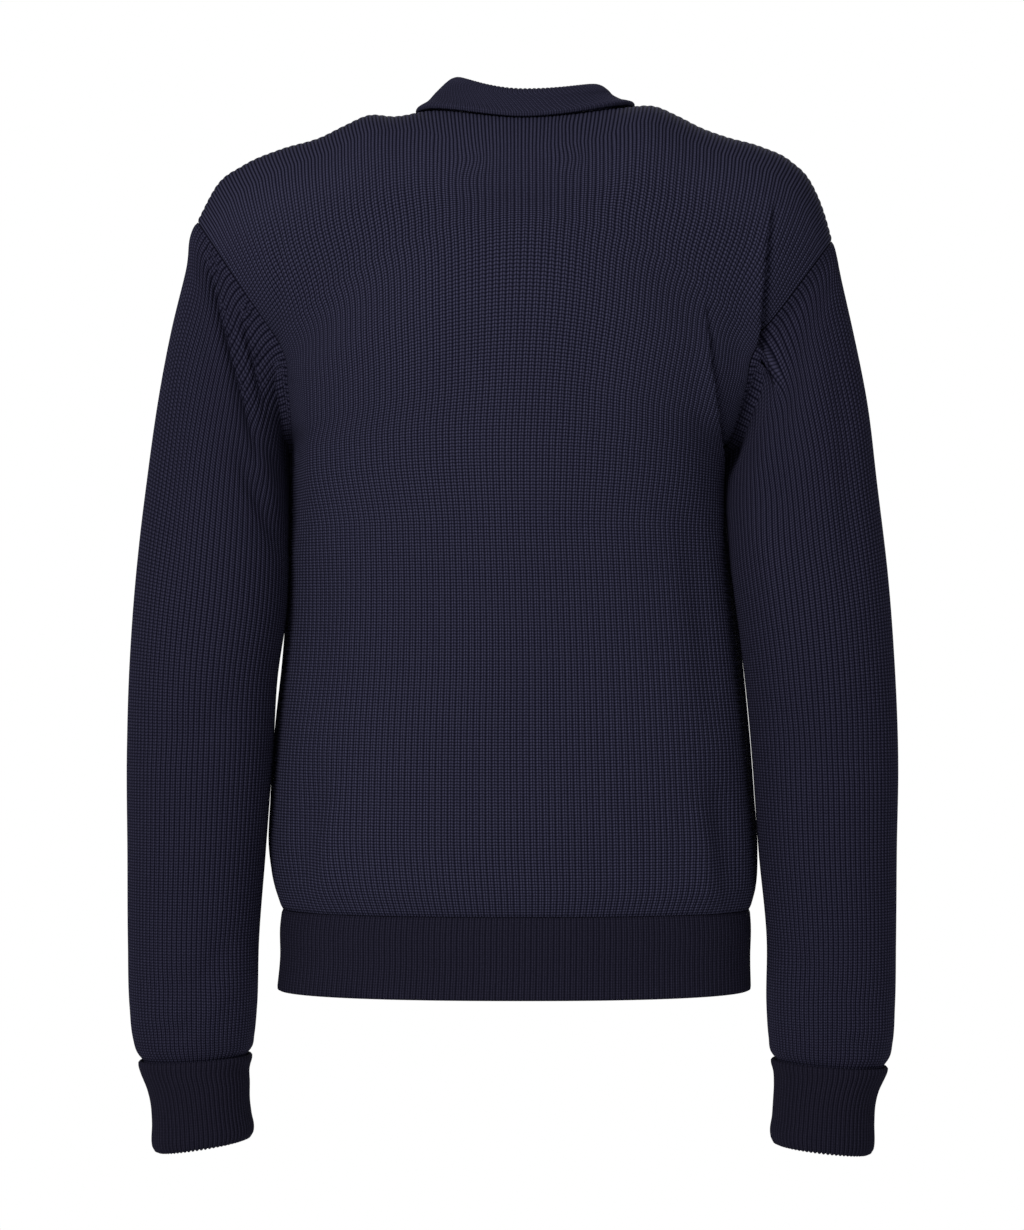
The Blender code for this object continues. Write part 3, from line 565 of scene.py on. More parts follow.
def creased(grid, normal, creases, middle_y):
    """The form with its troughs pressed in, its ridges raised and its folds laid over."""
    amount = np.zeros(grid.shape[:2])
    for crease in creases:
        line = evenly(crease.path, np.linspace(0, 1, PATH_STEPS))
        near, gap, holds = beside(grid, line, CREASE_REACH * crease.width, crease.facing, middle_y)
        soft = np.exp(-((gap / crease.width) ** 2))
        if isinstance(crease, Fold):
            over = smooth(gap / FOLD_EDGE + 0.5)
            lowered = crease.drop * np.exp(-((2 * gap / crease.width) ** 2))
            amount[near] += holds * (over * crease.rise * soft - (1 - over) * lowered)
        else:
            amount[near] += holds * crease.depth * soft
    return grid + normal * amount[..., None]


def rib_shape(count):
    """Height over a rib, 0 in the grooves and 1 on its top, for each mesh column."""
    return np.abs(np.sin(np.pi * np.arange(count) / RIB_COLUMNS))[None] ** RIB_ROUNDNESS


def sunk(distance):
    """How far the cloth rolls in at that distance from a seam."""
    return SEAM_SINK * (1 - smooth(distance / SEAM_ROLL)) ** 2


def stitch(one, other, places, closed):
    """Triangles between two rows of points, which meet where their places do."""
    a, b, at = list(one), list(other), list(places)
    if closed:
        a, b, at = a + a[:1], b + b[:1], at + [len(one)]
    faces, i, j = [], 0, 0
    while i < len(a) - 1 or j < len(b) - 1:
        if j == len(b) - 1 or (i < len(a) - 1 and i + 0.5 <= (at[j] + at[j + 1]) / 2):
            faces.append((a[i], a[i + 1], b[j]))
            i += 1
        else:
            faces.append((a[i], b[j + 1], b[j]))
            j += 1
    return faces


def quads(ids, around, onward=False):
    """Faces of a grid of points; around joins its last column to the first, onward its last row."""
    after = np.roll(ids, -1, axis=1) if around else ids[:, 1:]
    here = ids if around else ids[:, :-1]
    up, up_after = (np.roll(a, -1, axis=0) for a in (here, after))
    last = len(ids) if onward else len(ids) - 1
    return np.stack([here, after, up_after, up], axis=2)[:last].reshape(-1, 4)


def thinned(last, step):
    """Every so many places up to the last one, the last one too."""
    kept = list(range(0, last, step))
    if last - kept[-1] < step / 2 and len(kept) > 1:
        kept.pop()
    return kept + [last]


def volume_of(points, faces):
    """Six times what the faces enclose, below 0 where they point inwards."""
    fans = [(face[0], face[k], face[k + 1]) for face in faces for k in range(1, len(face) - 1)]
    a, b, c = points[np.array(fans).T]
    return (a * np.cross(b, c)).sum()


def welded(faces, same):
    """The faces on shared points, without those that ended columns leave empty, and their corners."""
    kept = []
    for face in faces:
        ring = [k for k, before in zip(face, face[-1:] + face[:-1]) if same[k] != same[before]]
        if len(ring) > 2:
            kept.append(ring)
    corner = np.array([k for face in kept for k in face])
    used, index = np.unique(same[corner], return_inverse=True)
    sizes = np.array([len(face) for face in kept])
    ends = np.cumsum(sizes)
    index = index.tolist()
    return used, [index[end - size:end] for end, size in zip(ends, sizes)], corner, sizes


def new_piece(name, points, faces, wales, courses, opened, same=None):
    """A mesh with its wales and courses as its UV map, and how far its ribs stand open."""
    if volume_of(points, faces) < 0:
        faces = [face[::-1] for face in faces]
    faces = [tuple(int(k) for k in face) for face in faces]
    used, faces, corner, sizes = welded(faces, np.arange(len(points)) if same is None else same)
    mesh = bpy.data.meshes.new(name)
    mesh.from_pydata(points[used].tolist(), [], faces)
    opened = opened[used]
    around = wales.max() + 1 / RIB_COLUMNS
    u, v = wales[corner], courses[corner]
    starts = np.concatenate([[0], np.cumsum(sizes)[:-1]])
    owner = np.repeat(np.arange(len(starts)), sizes)
    widest = np.maximum.reduceat(u, starts)
    u = np.where(widest[owner] - u > around / 2, u + around, u)
    layer = mesh.uv_layers.new(name="Knit")
    layer.data.foreach_set("uv", np.stack([u, v], axis=1).astype(np.float32).ravel())
    openness = mesh.attributes.new("opened", "FLOAT", "POINT")
    openness.data.foreach_set("value", opened.astype(np.float32))
    mesh.polygons.foreach_set("use_smooth", np.ones(len(mesh.polygons), bool))
    mesh.validate()
    mesh.update()
    piece = bpy.data.objects.new(name, mesh)
    bpy.context.scene.collection.objects.link(piece)
    return piece


def shell(name, form, normal, relief, run, closed, opened, ended=None):
    """One closed shell: ribs outside, and a plain inside a wall's thickness in."""
    rows, columns = form.shape[:2]
    row_ids = thinned(rows - 1, INSIDE_ROWS)
    column_ids = list(range(0, columns, INSIDE_STEP)) if closed else thinned(columns - 1, INSIDE_STEP)

    def kept(values):
        return values[row_ids][:, column_ids]

    def both(outside):
        return np.concatenate([outside.ravel(), kept(outside).ravel()])

    outer, inner = form + normal * relief[..., None], kept(form - normal * WALL)
    outer_ids = np.arange(rows * columns).reshape(rows, columns)
    inner_ids = outer_ids.size + np.arange(inner.shape[0] * inner.shape[1]).reshape(inner.shape[:2])
    faces = [tuple(face) for face in quads(outer_ids, closed)]
    faces += [tuple(face)[::-1] for face in quads(inner_ids, closed)]
    faces += [face[::-1] for face in stitch(outer_ids[0], inner_ids[0], column_ids, closed)]
    faces += stitch(outer_ids[-1], inner_ids[-1], column_ids, closed)
    if not closed:
        faces += stitch(outer_ids[:, 0], inner_ids[:, 0], row_ids, False)
        faces += [face[::-1] for face in stitch(outer_ids[:, -1], inner_ids[:, -1], row_ids, False)]
    wale, level = np.meshgrid(np.arange(columns) / RIB_COLUMNS, run / COURSE)
    points = np.concatenate([outer.reshape(-1, 3), inner.reshape(-1, 3)])
    same = None
    if ended is not None:
        border = BORDER_RIBS * RIB_COLUMNS
        border_column = np.where(np.arange(columns) < columns / 2, border, columns - 1 - border)
        outer_same = np.where(ended, outer_ids[:, border_column], outer_ids)
        there = [column_ids.index(border_column[k]) for k in column_ids]
        inner_same = np.where(kept(ended), inner_ids[:, there], inner_ids)
        same = np.concatenate([outer_same.ravel(), inner_same.ravel()])
    return new_piece(name, points, faces, both(wale), both(level), both(opened), same)


def rolled(name, rows, opened, course=FINE_COURSE):
    """A closed tube whose rings run down its outside and up its inside."""
    ids = np.arange(rows.shape[0] * rows.shape[1]).reshape(rows.shape[:2])
    faces = [tuple(face) for face in quads(ids, True, True)]
    wale, level = np.meshgrid(np.arange(rows.shape[1]) / RIB_COLUMNS, run_of(rows) / course)
    opens = np.full(ids.size, opened)
    return new_piece(name, rows.reshape(-1, 3), faces, wale.ravel(), level.ravel(), opens)


def panel_control(facing):
    trim = SEAM_GAP / 2 / PANEL_WIDTH
    shares = np.linspace(trim, 1 - trim, PANEL_RIBS * RIB_COLUMNS + 1)
    rows = [body_row(level.z, shares, facing) for level in BODY]
    return np.array(rows + shoulder_rows(shares, facing))


def sewn_sides(grid, run, facing):
    """The panel with its sides brought to the side seam, below the armholes."""
    below = run <= underarm_run
    across = np.arange(grid.shape[1]) * PANEL_WIDTH / grid.shape[1]
    for edge, away in ((0, across), (-1, across[::-1])):
        off = facing * SEAM_GAP / 2 - grid[below, edge, 1]
        grid[below, :, 1] += off[:, None] * np.exp(-((away / SIDE_EASE) ** 2))
    return grid


def wobbled(grid, facing):
    """The ribs pushed aside where the photo shows them bend."""
    out = grid.copy()
    for bend in BENDS:
        if bend.facing == facing:
            away = (grid[:, :, [0, 2]] - bend.path[0]) / (bend.wide, bend.tall)
            out[:, :, 0] += bend.shift * np.exp(-(away**2).sum(axis=2))
    return out


def ended_ribs(grid):
    """Each column's share of its row once ribs end behind those along the armhole, and which end."""
    rib = np.arange(grid.shape[1])[None] / RIB_COLUMNS
    climb = (grid[:, grid.shape[1] // 2, 2] - UNDERARM_Z) / (ENDING_Z - UNDERARM_Z)
    gone = ENDING_RIBS * (1 - (1 - np.clip(climb, 0, 1)) ** 2)[:, None]
    near = np.minimum(rib, PANEL_RIBS - rib)
    place = np.where(near < BORDER_RIBS, near, np.maximum(near - gone, BORDER_RIBS))
    left = PANEL_RIBS - 2 * gone
    share = np.where(rib < PANEL_RIBS / 2, place, left - place) / left
    middle_z = grid[:, grid.shape[1] // 2, 2]
    packing = np.interp(middle_z, PACKING_Z, PACKING)[:, None]
    across = 2 * share - 1
    across = across * (1 - packing * across**4) / (1 - packing)
    return (across + 1) / 2, (near > BORDER_RIBS) & (near - gone <= BORDER_RIBS)


def spread(grid, share):
    """The rows of a grid read at new shares of their columns."""
    at = np.arange(grid.shape[1])
    return np.array([read_at(row, at, s * at[-1]) for s, row in zip(share, grid)])


def panel_form(facing, rows):
    """A panel's form with its creases, its outward directions, its run and where its ribs end."""
    grid, run = dense(panel_keys, rows, PANEL_ROWS)
    grid = wobbled(sewn_sides(grid, run, facing), facing)
    middle = grid.mean(axis=(0, 1)) * (1, 0, 1)
    normal = facing_out(grid, normals_of(grid, False), middle)
    grid = creased(grid, normal, [crease for crease in BODY_CREASES if crease.facing == facing], 0)
    normal = facing_out(grid, normals_of(grid, False), middle)
    normal[0, :, 2] = 0
    share, ended = ended_ribs(grid)
    return Form(spread(grid, share), unit(spread(unit(normal), share)), run, ended)


def share_seams(back, front):
    """Both panels point the same way along the side and shoulder seams."""
    for edge in (0, -1):
        shared = unit(back.normal[:UNDERARM + 1, edge] + front.normal[:UNDERARM + 1, edge])
        back.normal[:UNDERARM + 1, edge] = front.normal[:UNDERARM + 1, edge] = shared
    on_ridge = np.abs(back.grid[-1, :, 0]) > NECK_HALF_WIDTH
    shared = unit(back.normal[-1] + front.normal[-1])[on_ridge]
    back.normal[-1][on_ridge] = front.normal[-1][on_ridge] = shared


def panel(name, facing):
    """A body panel, with lower ribs on the shoulders, in its middle and where the sleeves rest."""
    grid, normal, run, ended = panel_forms[facing]
    x, z = grid[:, :, 0], grid[:, :, 2]
    columns = grid.shape[1] - 1
    edge = np.minimum(np.arange(columns + 1), columns - np.arange(columns + 1)) * PANEL_WIDTH / columns
    edge = np.broadcast_to(edge, z.shape)
    by_sleeve = (1 - smooth((edge - RESTED_WIDTH) / RESTED_FADE)) * within(z, *RESTED_ON)
    shoulders = smooth((z - ridge_height(x) + SHOULDER_DEPTH) / SHOULDER_FADE)
    depth = PANEL_RELIEF + (SHOULDER_RELIEF - PANEL_RELIEF) * shoulders
    depth += (MIDDLE_RELIEF - PANEL_RELIEF) * np.exp(-((x / CALM_HALF_WIDTH) ** 4)) * within(z, *CALM)
    to_end = np.minimum(run - run[0], run[-1] - run)[:, None]
    ribs = np.where(ended, 0, rib_shape(columns + 1))
    height = depth * (ribs - 0.5 - 0.5 * by_sleeve)
    height = height * smooth(to_end / RIB_START) - sunk(to_end)
    sewn = np.where(run[:, None] > panel_keys[-2], 0, smooth((z - UNDERARM_Z) / UNDERARM_FADE))
    height -= sewn * sunk(edge)
    return shell(name, grid, normal, height, run, False, shoulders, ended)


def armhole(side, half):
    """The cut edge that a sleeve is sewn to, its outward directions and the way on past it."""
    edge, inside = (-1, -2) if side > 0 else (0, 1)
    halves = []
    for facing in (1, -1):
        form = panel_forms[facing]
        line, out = form.grid[UNDERARM:, edge][::-1], form.normal[UNDERARM:, edge][::-1]
        way = unit(np.cross(out, np.gradient(line, axis=0)))
        away = ((line - form.grid[UNDERARM:, inside][::-1]) * way).sum()
        way = way if away > 0 else -way
        run = lengths(line)
        halves.append([read_at(a, run, np.linspace(0, run[-1], half + 1)) for a in (line, out, way)])
    joined = []
    for behind, before in zip(*halves):
        shoulder, under = (behind[0] + before[0]) / 2, (behind[-1] + before[-1]) / 2
        joined.append(np.concatenate([[shoulder], behind[1:-1], [under], before[1:-1][::-1]]))
    return joined


def ring_points(ring, half):
    """A sleeve's ring, from its outer point round the back to the inner point and on."""
    middle = np.array([(ring.out_x + ring.in_x) / 2, ring.y, (ring.out_z + ring.in_z) / 2])
    arm = np.array([ring.out_x - middle[0], 0, ring.out_z - middle[2]])
    angle = np.linspace(0, math.pi, CURVE_STEPS + 1)[:, None]
    across = power(np.cos(angle), ARM_ROUNDNESS)
    deep = power(np.sin(angle), ARM_ROUNDNESS) * np.array([0, ring.deep, 0])
    shares = np.linspace(0, 1, half + 1)
    behind = evenly(middle + arm * across + deep, shares)[:-1]
    before = evenly(middle + arm * across - deep, shares)[::-1][:-1]
    return np.concatenate([behind, before])


def turned_out(grid):
    return facing_out(grid, normals_of(grid, True), grid.mean(axis=1, keepdims=True))


def sleeve(name, side, rings, creases):
    """A sleeve, from the armhole down to its end inside the cuff."""
    half = SLEEVE_RIBS * RIB_COLUMNS // 2
    start, out, way = armhole(side, half)
    place = np.linspace(-1, 1, 2 * half, endpoint=False)
    under = np.exp(-((place / UNDERARM_SHARE) ** 2))[:, None]
    first = start + way * (2 * SEAM_GAP + UNDERARM_GAP * under)
    second = start + way * SEAM_STEP
    control = np.array([first, second] + [ring_points(ring, half) for ring in rings])
    keys = run_of(control)
    grid, run = dense(keys, control, SLEEVE_ROWS)
    normal = turned_out(grid)
    pressed = creased(grid, normal, creases, rings[0].y)
    grid = grid + (pressed - grid) * smooth(run / SLEEVE_CREASE_START)[:, None, None]
    normal = turned_out(grid)
    at_seam = (1 - smooth(run / SLEEVE_SEAM_TURN))[:, None, None]
    normal = unit(normal * (1 - at_seam) + out[None] * at_seam)
    by_body = np.exp(-((place / SLEEVE_INNER_SHARE) ** 2))[None]
    crimped = np.exp(-(((run - CRIMP_AT) / CRIMP_WIDTH) ** 2))[:, None]
    crimped = crimped * smooth((np.abs(place) - CRIMP_FROM) / CRIMP_FADE)[None]
    depth = SLEEVE_RELIEF + (CRIMPED_RELIEF - SLEEVE_RELIEF) * crimped
    shown = smooth(run / RIB_START) * smooth((run[-1] - run) / SLEEVE_END_FADE)
    height = depth * (rib_shape(2 * half) - 0.5 - 0.5 * by_body) * shown[:, None]
    height -= sunk(run)[:, None]
    return shell(name, grid, normal, height, run, True, np.zeros(grid.shape[:2]))


def hem_band():
    """The band below the body, whose rings go round its bottom edge and up the inside."""
    half = HEM_RIBS * RIB_COLUMNS // 2
    shares = np.linspace(0, 1, half + 1)
    rows = []
    for band in HEM:
        behind, before = (
            evenly(np.stack([x, y, np.full_like(x, band.z)], axis=1), shares)
            for x, y in (half_outline(band.left, band.right, depth) for depth in (band.back, -band.front))
        )
        rows.append(np.concatenate([behind[:-1], before[:0:-1]]))
    control = np.array(rows)
    outside, run = dense(run_of(control), control, HEM_ROWS)
    normal = turned_out(outside)
    ribs = HEM_RELIEF * (rib_shape(2 * half) - 0.5)
    from_seam = run[:, None] - run[0]
    height = ribs * smooth(from_seam / HEM_RIB_START) - sunk(from_seam)
    height -= sunk(run[-1] - run[:, None]) * HEM_EDGE_SINK
    outer = outside + normal * height[..., None]
    inner = (outside - normal * WALL)[HEM_INSIDE]
    edge = (outer[-1] + inner[0]) / 2 - np.array([0, 0, HEM_EDGE_DROP])
    return rolled("hem_band_knit", np.concatenate([outer, [edge], inner]), 0.0)


def cuff(name, rings, sleeve_end):
    """A turned-back cuff: two layers in one wall, its free edge above the seam."""
    half = CUFF_RIBS * RIB_COLUMNS // 2
    up = np.array([0, 0, 1.0])
    control = np.array([ring_points(ring, half) for ring in rings])
    outside, run = dense(run_of(control), control, CUFF_ROWS)
    normal = turned_out(outside)
    end = ring_points(sleeve_end, half)
    out = unit((end - end.mean(axis=0)) * [1, 1, 0])
    ribs = CUFF_RELIEF * (rib_shape(2 * half) - 0.5)
    lip = (1 - smooth((run - run[0]) / CUFF_LIP))[:, None]
    foot = (1 - smooth((run[-1] - run) / CUFF_FOOT))[:, None]
    outer = outside + normal * (ribs - CUFF_LIP_ROUND * lip**2 - CUFF_FOOT_ROUND * foot**2)[..., None]
    under_lip = end + out * LIP_CLEAR - up * SEAM_GAP
    inner_lip = outside[0] - normal[0] * LIP_THICK
    crown = (outside[0] + inner_lip) / 2 + up * CUFF_CROWN + normal[0] * ribs[0][:, None] * 0.5
    inside = (outside - normal * CUFF_THICK)[CUFF_INSIDE]
    sole = (outer[-1] + inside[0]) / 2 - up * (CUFF_FOOT_ROUND + ribs[0][:, None])
    top = end - out * WALL - up * SEAM_GAP
    rows = np.concatenate([[under_lip, inner_lip, crown], outer, [sole], inside, [top]])
    return rolled(name, rows, CUFF_OPENED)


def collar_ring(line, count, turned):
    """A line round the collar, from the wearer's left side round the back."""
    angle = np.linspace(0, 2 * math.pi, CURVE_STEPS + 1)
    c, s = np.cos(angle), np.sin(angle)
    x = np.where(c > 0, line.left, line.right) * c
    y = NECK_MIDDLE_Y + np.where(s > 0, line.back, line.front) * s
    z = np.where(c > 0, line.left_z, line.right_z) * c**2
    z = z + np.where(s > 0, line.back_z, line.front_z) * s**2
    shares = np.linspace(0, 1, count + 1)[:-1]
    away = (shares - RIB_TURN_AT + 0.5) % 1 - 0.5
    shares = shares - turned * RIB_TURN * np.exp(-((away / RIB_TURN_REACH) ** 2))
    return evenly(np.stack([x, y, z], axis=1), shares % 1)


def neck_edge(count):
    """The sewn edge of the neck, from the wearer's left side round the back."""
    back, front = panel_forms[1].grid[-1], panel_forms[-1].grid[-1]
    inside = np.abs(back[:, 0]) < NECK_HALF_WIDTH
    ring = np.concatenate([back[inside][::-1], front[inside], back[inside][::-1][:1]])
    return evenly(ring, np.linspace(0, 1, count + 1))[:-1]


def on_shoulders(ring, clear):
    """The ring laid on the back and front panels, that far above them."""
    heights = []
    for x, y, z in ring:
        hits = [tree.ray_cast((x, y, ABOVE_NECK), (0, 0, -1))[0] for tree in panel_trees]
        heights.append(max([hit.z for hit in hits if hit] or [z]))
    heights = np.array(heights)
    over = np.max([np.roll(heights, k) for k in range(-HIGHEST_OF, HIGHEST_OF + 1)], axis=0)
    even = np.mean([np.roll(over, k) for k in range(-EVEN_OVER, EVEN_OVER + 1)], axis=0)
    out = ring.copy()
    out[:, 2] = np.maximum(even, over) + clear
    return out


def from_neck(ring):
    return unit((ring - [0, NECK_MIDDLE_Y, 0]) * [1, 1, 0])


def collar():
    """The high neck, turned down: two layers in one wall, its free edge outside."""
    count = COLLAR_RIBS * RIB_COLUMNS
    up = np.array([0, 0, 1.0])
    rim, swell, foot = (collar_ring(line, count, turned) for line, turned in
                        ((COLLAR_RIM, 1), (COLLAR_SWELL, SWELL_TURN), (COLLAR_FOOT, 0)))
    neck = neck_edge(count)
    neck_away, away, foot_away = from_neck(neck), from_neck(rim), from_neck(foot)
    lip_under = on_shoulders(foot - foot_away * LIP_TUCK, LIP_CLEAR)
    foot[:, 2] = lip_under[:, 2] + LIP_THICK * LIP_SHARE
    nose = (foot + lip_under) / 2 + foot_away * LIP_NOSE
    seam_outer = on_shoulders(neck + neck_away * SEAM_OVERLAP, 2 * SEAM_GAP)
    seam_inner = neck - neck_away * (LAYER - SEAM_OVERLAP) + up * 2 * SEAM_GAP
    between = on_shoulders((seam_outer + lip_under) / 2, LIP_CLEAR)
    waist = (foot + swell) / 2 - away * COLLAR_WAIST
    rounded = [rim + away * out - up * down for out, down in RIM_ROUND]
    inside = rim - away * RIM_THICK - up * RIM_INSIDE_DROP
    control = np.array([lip_under, nose, foot, waist, swell, *rounded, rim, inside])
    keys = run_of(control)
    rows, run = dense(keys, control, COLLAR_ROWS)
    normal = turned_out(rows)
    shown = within(run, keys[1], keys[-1], *COLLAR_FADES)
    ribs = COLLAR_RELIEF * (rib_shape(count) - 0.5) * shown[:, None]
    rows = rows + normal * ribs[..., None]
    lower = (seam_inner + inside) / 2 - away * INSIDE_BULGE
    rows = np.concatenate([[seam_outer, between], rows, [lower, seam_inner]])
    return rolled("collar_knit", rows, COLLAR_OPENED, COLLAR_COURSE)


def calc(tree, operation, *values):
    """One step of arithmetic in a node tree."""
    node = tree.nodes.new("ShaderNodeMath")
    node.operation = operation
    for socket, value in zip(node.inputs, values):
        if isinstance(value, (int, float)):
            socket.default_value = value
        else:
            tree.links.new(value, socket)
    return node.outputs[0]


def times(tree, one, other):
    return calc(tree, "MULTIPLY", one, other)


def less(tree, amount, share):
    """1 less a share of the amount."""
    return calc(tree, "SUBTRACT", 1, times(tree, amount, share))


def wave(tree, place, turns):
    """A wave along the place, 0 to 1, that touches 0 at every turn."""
    return calc(tree, "ABSOLUTE", calc(tree, "SINE", times(tree, place, turns * math.pi)))


def toned(tree, amount, tone):
    """1 where the amount is 0 and the tone where it is 1."""
    return calc(tree, "ADD", calc(tree, "SUBTRACT", 1, amount), times(tree, amount, tone))


def knitting():
    """The stitches of a rib, as painted shade: two legs side by side, beaded row by row, with a groove
    beside them, dark where shade falls between them.
    """
    tree = bpy.data.node_groups.new("KnittingShade", "ShaderNodeTree")
    face = tree.interface
    add, link = tree.nodes.new, tree.links.new
    face.new_socket("Knit", in_out="INPUT", socket_type="NodeSocketVector")
    for name in ("Opened", "Split", "Stitch", "Groove"):
        face.new_socket(name, in_out="INPUT", socket_type="NodeSocketFloat")
    face.new_socket("Shade", in_out="OUTPUT", socket_type="NodeSocketFloat")
    given, result = add("NodeGroupInput"), add("NodeGroupOutput")
    opened = given.outputs["Opened"]
    parts = add("ShaderNodeSeparateXYZ")
    link(given.outputs["Knit"], parts.inputs[0])
    place = calc(tree, "SUBTRACT", calc(tree, "FRACT", parts.outputs[0]), 0.5)
    rib = calc(tree, "POWER", calc(tree, "COSINE", times(tree, place, math.pi)), RIB_EDGE)
    leg = calc(tree, "POWER", wave(tree, place, 2), calc(tree, "ADD", LEG_EDGE, opened))
    slant = times(tree, calc(tree, "ABSOLUTE", place), LEG_SLANT)
    bead = calc(tree, "POWER", wave(tree, calc(tree, "ADD", parts.outputs[1], slant), 1), BEAD_EDGE)
    legs = toned(tree, given.outputs["Split"], leg)
    grooves = toned(tree, times(tree, given.outputs["Groove"], less(tree, opened, OPEN_GROOVE)), rib)
    stitches = toned(tree, times(tree, given.outputs["Stitch"], less(tree, opened, OPEN_STITCH)), bead)
    # Painted shade: darkest in the grooves and between the legs and the beads
    cords = times(tree, calc(tree, "MINIMUM", legs, grooves), less(tree, opened, OPEN_SHADE))
    link(times(tree, cords, stitches), result.inputs["Shade"])
    return tree


def fill(node, values):
    """The node's inputs, set by name."""
    for name, value in values.items():
        node.inputs[name].default_value = value


def wool(look, group):
    """Matt wool: knitted stitches from the Knit map, painted as shade in the grooves and between legs and
    beads, loose fibres and a faint unevenness.
    """
    material = bpy.data.materials.new(look.name)
    material.use_nodes = True
    tree = material.node_tree
    add, link = tree.nodes.new, tree.links.new
    shader = tree.nodes["Principled BSDF"]
    fill(shader, dict(MATT_WOOL))
    lay = add("ShaderNodeUVMap")
    lay.uv_map = "Knit"
    opened = add("ShaderNodeAttribute")
    opened.attribute_name = "opened"
    knit = add("ShaderNodeGroup")
    knit.node_tree = group
    link(lay.outputs["UV"], knit.inputs["Knit"])
    link(opened.outputs["Fac"], knit.inputs["Opened"])
    fill(knit, {"Split": look.split, "Stitch": look.stitch, "Groove": look.depth})
    place = add("ShaderNodeTexCoord")
    fibre, patch = add("ShaderNodeTexNoise"), add("ShaderNodeTexNoise")
    for noise, scale, detail in ((fibre, FIBRE_SCALE, 2), (patch, PATCH_SCALE, 3)):
        fill(noise, {"Scale": scale, "Detail": detail})
        link(place.outputs["Object"], noise.inputs["Vector"])
    fibres, patches = (calc(tree, "ADD", least, times(tree, noise.outputs[0], more)) for noise, (least, more)
                       in ((fibre, FIBRE_SHADE), (patch, PATCH_SHADE)))
    shade = knit.outputs["Shade"]
    # The groove colour is painted shade; the knit's shade mixes it with the tops' colour
    mix = add("ShaderNodeMix")
    mix.data_type = "RGBA"
    fill(mix, {"A": (*look.groove, 1), "B": (*look.top, 1)})
    link(times(tree, shade, times(tree, fibres, patches)), mix.inputs["Factor"])
    link(mix.outputs["Result"], shader.inputs["Base Color"])
    bump = add("ShaderNodeBump")
    fill(bump, {"Strength": BUMP_STRENGTH, "Distance": BUMP_DISTANCE})
    height = calc(tree, "ADD", shade, times(tree, fibre.outputs[0], FIBRE_BUMP))
    link(height, bump.inputs["Height"])
    link(bump.outputs["Normal"], shader.inputs["Normal"])
    return material


def dress(piece, node, look):
    """The finished piece takes its node's place and its wool."""
    piece.data.materials.append(wools[look])
    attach(piece, "root")
    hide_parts(node)


def lamp(name, place, target, size, power_w, colour):
    light = bpy.data.lights.new(name, "AREA")
    light.shape = "DISK"
    light.size = size
    light.energy = power_w
    light.color = colour
    holder = bpy.data.objects.new(name, light)
    holder.location = place
    holder.rotation_euler = (Vector(target) - Vector(place)).to_track_quat("-Z", "Y").to_euler()
    bpy.context.scene.collection.objects.link(holder)


def studio():
    """A white surround, a pale floor and soft light from the upper left."""
    world = bpy.data.worlds.new("Surround")
    bpy.context.scene.world = world
    world.use_nodes = True
    tree = world.node_tree
    add, link = tree.nodes.new, tree.links.new
    seen, lit, which = tree.nodes["Background"], add("ShaderNodeBackground"), add("ShaderNodeMixShader")
    for light, strength in ((seen, SURROUND_SEEN), (lit, SURROUND_LIGHT)):
        fill(light, {"Color": (1, 1, 1, 1), "Strength": strength})
    path = add("ShaderNodeLightPath")
    link(path.outputs["Is Camera Ray"], which.inputs[0])
    link(lit.outputs[0], which.inputs[1])
    link(seen.outputs[0], which.inputs[2])
    link(which.outputs[0], tree.nodes["World Output"].inputs["Surface"])
    bpy.ops.mesh.primitive_circle_add(
        vertices=FLOOR_SIDES, radius=FLOOR_RADIUS, fill_type="NGON", location=(0, 0, FLOOR_Z)
    )
    floor = bpy.context.object
    floor.name = "floor"
    paint = bpy.data.materials.new("pale_floor")
    paint.use_nodes = True
    shader = paint.node_tree.nodes["Principled BSDF"]
    fill(shader, {"Base Color": (*[FLOOR_GREY] * 3, 1), "Roughness": FLOOR_ROUGHNESS})
    floor.data.materials.append(paint)
    for row in LAMPS:
        lamp(*row)


def camera():
    """At the photograph's angle, level with the middle of the frame."""
    data = bpy.data.cameras.new("camera")
    data.sensor_fit = "VERTICAL"
    data.sensor_height = SENSOR
    data.lens = SENSOR * CAMERA_DISTANCE / (PHOTO_HEIGHT * METRES_TO_A_PIXEL)
    data.clip_end = SIGHT
    eye = bpy.data.objects.new("camera", data)
    eye.location = (CAMERA_X, CAMERA_DISTANCE, CAMERA_Z)
    eye.rotation_euler = Vector((0, -1, 0)).to_track_quat("-Z", "Y").to_euler()
    bpy.context.scene.collection.objects.link(eye)
    bpy.context.scene.camera = eye


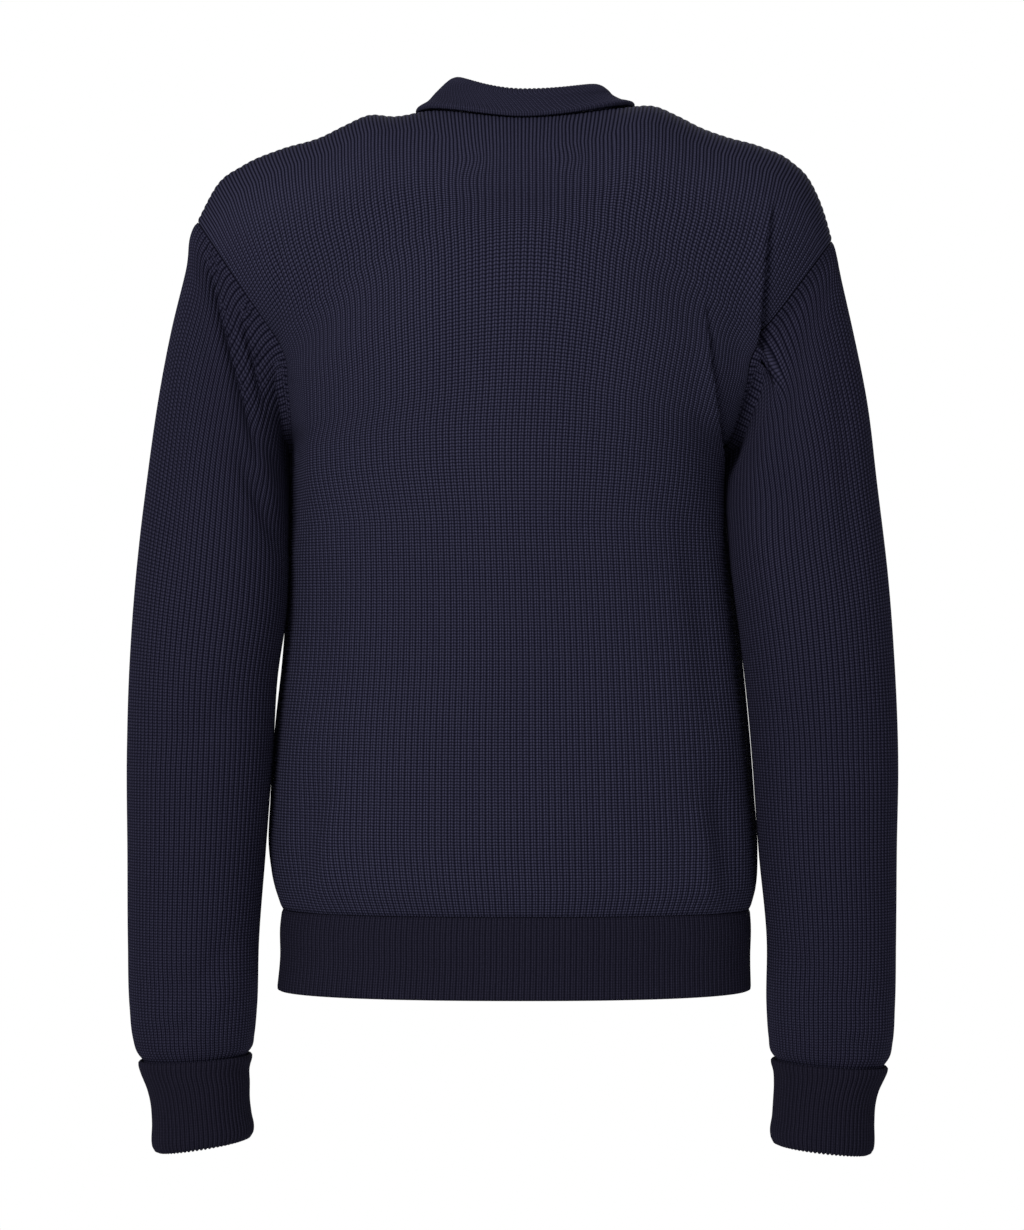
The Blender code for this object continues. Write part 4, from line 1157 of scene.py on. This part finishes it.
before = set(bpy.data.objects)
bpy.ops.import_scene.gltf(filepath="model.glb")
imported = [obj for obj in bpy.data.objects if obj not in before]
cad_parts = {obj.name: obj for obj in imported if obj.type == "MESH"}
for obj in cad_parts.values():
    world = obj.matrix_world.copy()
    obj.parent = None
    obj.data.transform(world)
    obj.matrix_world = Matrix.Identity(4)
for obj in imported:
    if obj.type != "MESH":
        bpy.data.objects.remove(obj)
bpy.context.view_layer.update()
bpy.ops.object.select_all(action="DESELECT")

controls = {facing: panel_control(facing) for facing in (1, -1)}
panel_keys = run_of(controls[1])
underarm_run = panel_keys[[level.z for level in BODY].index(UNDERARM_Z)]
for facing, rows in controls.items():
    panel_forms[facing] = panel_form(facing, rows)
UNDERARM = int(np.abs(panel_forms[1].run - underarm_run).argmin())
share_seams(panel_forms[1], panel_forms[-1])

back, front = panel("back_knit", 1), panel("front_knit", -1)
panel_trees = [BVHTree.FromObject(piece, bpy.context.evaluated_depsgraph_get()) for piece in (back, front)]
stitches = knitting()
wools = {look: wool(look, stitches) for look in (BODY_WOOL, SHADED_SLEEVE_WOOL, HEM_WOOL, CUFF_WOOL, COLLAR_WOOL)}
left_sleeve = sleeve("left_sleeve_knit", 1, LEFT_SLEEVE, LEFT_CREASES)
right_sleeve = sleeve("right_sleeve_knit", -1, RIGHT_SLEEVE, RIGHT_CREASES)
hem = hem_band()
left_cuff = cuff("left_cuff_knit", LEFT_CUFF, LEFT_SLEEVE[-1])
right_cuff = cuff("right_cuff_knit", RIGHT_CUFF, RIGHT_SLEEVE[-1])
dress(back, "back_panel", BODY_WOOL)
dress(front, "front_panel", BODY_WOOL)
dress(left_sleeve, "sleeve_left", SHADED_SLEEVE_WOOL)
dress(right_sleeve, "sleeve_right", SHADED_SLEEVE_WOOL)
dress(hem, "hem_band", HEM_WOOL)
dress(left_cuff, "cuff_left", CUFF_WOOL)
dress(right_cuff, "cuff_right", CUFF_WOOL)
dress(collar(), "collar", COLLAR_WOOL)

studio()
camera()
bpy.context.scene.view_settings.view_transform = "Standard"
